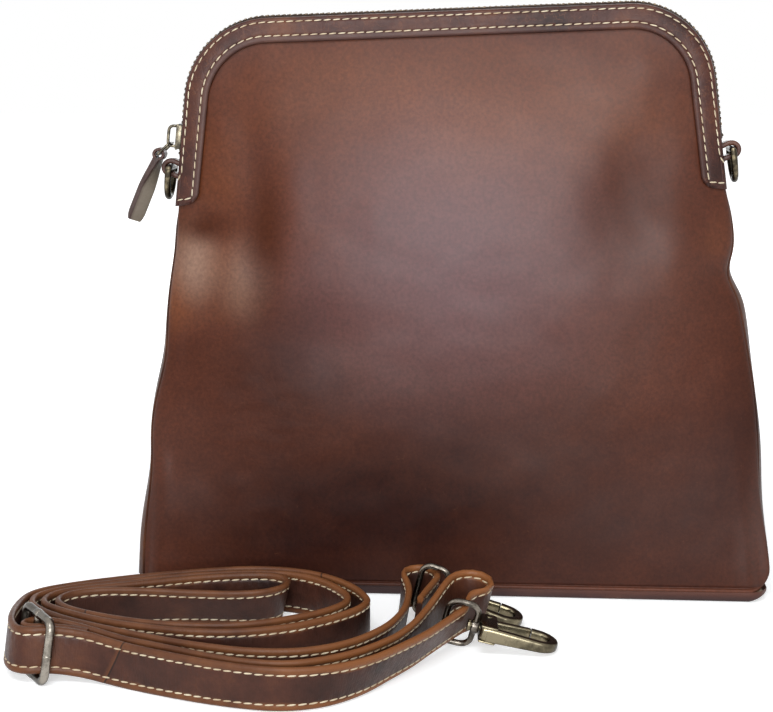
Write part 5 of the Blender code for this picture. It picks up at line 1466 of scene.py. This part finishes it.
def make_hook(place):
    """The hook: a tapering bow from a forked block, which holds the gate, and a headed stem."""
    line = [(BLOCK_START + 0.0030, HOOK_LINE, 0.0)]
    for step in range(25):
        angle = math.pi / 2 - math.pi * step / 24
        line.append((NOSE_CENTRE + HOOK_LINE * math.cos(angle), HOOK_LINE * math.sin(angle), 0.0))
    line.append((NOSE_TIP, -HOOK_LINE, 0.0))

    def hook_place(share_along, share_round):
        """A corner of the hook's bow."""
        centre, way = along_line(line, share_along)
        tall = (CLIP_THICK - 0.0003) * (1 - CLIP_TAPER * (centre.x - BLOCK_START) / CLIP_LENGTH)
        across, through = oval(share_round, CLIP_WALL / 2, tall, 0.62, 0.5)
        return place @ (centre + UPRIGHT.cross(way) * across + UPRIGHT * through)

    bm = skin(110, 32, hook_place, capped=True)
    for side in (-1, 1):
        low, high = sorted((side * CLIP_THICK, side * 0.0027))
        eased_block(
            bm, place, (BLOCK_START, -CLIP_HALF + 0.0003, low),
            (BLOCK_START + BLOCK_LENGTH, CLIP_HALF - 0.0003, high), 0.0005, 3)
    eased_block(
        bm, place, (BLOCK_START, -0.0021, -CLIP_THICK + 0.0003),
        (BLOCK_START + BLOCK_LENGTH, CLIP_HALF - 0.0004, CLIP_THICK - 0.0003), 0.0020, 5)
    eased_block(
        bm, place, (BLOCK_START, -CLIP_HALF + 0.0006, -0.0030), (BLOCK_START + 0.0010, 0.0, 0.0030), 0.0003)
    add_rod(bm, place, (BOSS_START - 0.0010, 0, 0), (BLOCK_START + 0.0030, 0, 0), 0.0015)
    add_rod(bm, place, (BOSS_START - 0.0017, 0, 0), (BOSS_START - 0.0003, 0, 0), 0.0026, 24, 0.0005)
    return bm


def make_gate(place):
    """The gate: a bar from its rivet to the hook's nose, with a barrel round the rivet."""
    reach = Vector((NOSE_TIP - 0.00018, -HOOK_LINE, 0.0)) - RIVET
    along = reach.normalized()
    turned = place @ framed(along, UPRIGHT.cross(along), UPRIGHT, RIVET)
    bm = bmesh.new()
    eased_block(bm, turned, (0.0, -0.0015, -0.0024), (reach.length, 0.0015, 0.0024), 0.0007, 3)
    add_rod(bm, turned, (0, 0, -0.0023), (0, 0, 0.0023), 0.0022, 24, 0.0004)
    return bm


def make_rivet(place):
    """The rivet: a pin with two low domed heads."""
    bm = bmesh.new()
    add_rod(bm, place, RIVET - UPRIGHT * 0.0040, RIVET + UPRIGHT * 0.0040, 0.001)
    flattened = Matrix.Diagonal((0.0014, 0.0014, 0.0005, 1))
    for side in (-1, 1):
        head = place @ Matrix.Translation(RIVET + UPRIGHT * (side * 0.0037)) @ flattened
        bmesh.ops.create_uvsphere(bm, u_segments=18, v_segments=10, radius=1.0, matrix=head)
    return bm


clip_brass = metal_material("clip_brass", (0.26, 0.220, 0.142), (0.080, 0.067, 0.044), 0.05, 90.0)
eye_metal = metal_material("eye_metal", (0.23, 0.200, 0.165), (0.070, 0.060, 0.050), 0.03, 240.0)
for clip in clip_places:
    eye_frame, body_frame = clip_frames(clip)
    name = "clip_" + clip
    dress(name + "_wire_eye", make_eye(eye_frame), eye_metal, "strap", "aged_metal", name + "_eye")
    dress(name + "_hook", make_hook(body_frame), clip_brass, name, "antique_brass", name + "_body")
    gate_mesh = make_gate(body_frame)
    dress(name + "_sprung_gate", gate_mesh, clip_brass, name + "_gate", "antique_brass", name + "_gate")
    dress(name + "_domed_rivet", make_rivet(body_frame), clip_brass, name, "antique_brass", name + "_rivet")

# Floor, light and camera: a plain white floor, soft lamps above, in front, at the left and behind, and a
# camera at the photograph's angle.

floor_mesh = bmesh.new()
bmesh.ops.create_grid(floor_mesh, x_segments=1, y_segments=1, size=6.0)
floor_shape = bpy.data.meshes.new("floor")
floor_mesh.to_mesh(floor_shape)
floor_mesh.free()
floor = bpy.data.objects.new("floor", floor_shape)
bpy.context.collection.objects.link(floor)


def shown(tree):
    """1 for what the camera sees, straight or by gloss or glass, and 0 for what only lights."""
    rays = tree.nodes.new("ShaderNodeLightPath").outputs
    seen = math_node(tree, "MAXIMUM", rays["Is Camera Ray"], rays["Is Glossy Ray"])
    return math_node(tree, "MAXIMUM", seen, rays["Is Transmission Ray"])


floor_white, floor_tree, floor_shader, floor_place = new_material("floor_white")
floor_shader.inputs["Base Color"].default_value = (0.80, 0.80, 0.80, 1.0)
floor_shader.inputs["Roughness"].default_value = 0.9
floor_shader.inputs["Specular IOR Level"].default_value = 0.0
floor_away = add(floor_tree, "ShaderNodeVectorMath", {0: floor_place}, operation="LENGTH").outputs["Value"]
floor_glow = ranged(floor_tree, floor_away, 0.25, 0.70, 0.52, 1.0)
floor_glow = math_node(floor_tree, "MULTIPLY", shown(floor_tree), floor_glow)
floor_tree.links.new(floor_glow, floor_shader.inputs["Emission Strength"])
floor_shader.inputs["Emission Color"].default_value = (1.0, 1.0, 1.0, 1.0)
floor_shape.materials.append(floor_white)

world = bpy.data.worlds.new("studio")
bpy.context.scene.world = world
world.use_nodes = True
world_tree = world.node_tree
backdrop = world_tree.nodes["Background"]
world_glow = ranged(world_tree, shown(world_tree), 0.0, 1.0, 0.30, 1.0)
world_tree.links.new(world_glow, backdrop.inputs["Strength"])
backdrop.inputs["Color"].default_value = (1.0, 1.0, 1.0, 1.0)


def soft_lamp(name, place, target, wide, tall, watts):
    """A large soft lamp turned to a target."""
    data = bpy.data.lights.new(name, "AREA")
    data.shape = "RECTANGLE"
    data.size = wide
    data.size_y = tall
    data.energy = watts
    data.color = (0.93, 0.97, 1.0)
    lamp = bpy.data.objects.new(name, data)
    bpy.context.collection.objects.link(lamp)
    lamp.location = place
    lamp.rotation_euler = (Vector(target) - Vector(place)).to_track_quat("-Z", "Y").to_euler()


soft_lamp("overhead", (-0.10, -0.95, 1.10), (0.0, 0.0, 0.15), 0.7, 0.35, 9.0)
soft_lamp("front_softbox", (0.02, -1.7, 0.52), (0.0, 0.0, 0.15), 1.3, 0.60, 21.0)
soft_lamp("left_softbox", (-1.5, -0.9, 1.0), (0.0, 0.0, 0.12), 0.9, 0.9, 2.5)
soft_lamp("rear_fill", (0.30, 1.6, 0.70), (0.0, 0.0, 0.15), 1.2, 0.8, 9.0)

camera_data = bpy.data.cameras.new("camera")
camera_data.sensor_width = 36.0
camera_data.lens = 76.03
camera = bpy.data.objects.new("camera", camera_data)
bpy.context.collection.objects.link(camera)
camera.location = (0.02068, -0.74829, 0.245)
camera.rotation_euler = (math.radians(79.532), 0.0, math.radians(3.954))
bpy.context.scene.camera = camera
bpy.context.scene.view_settings.view_transform = "Standard"
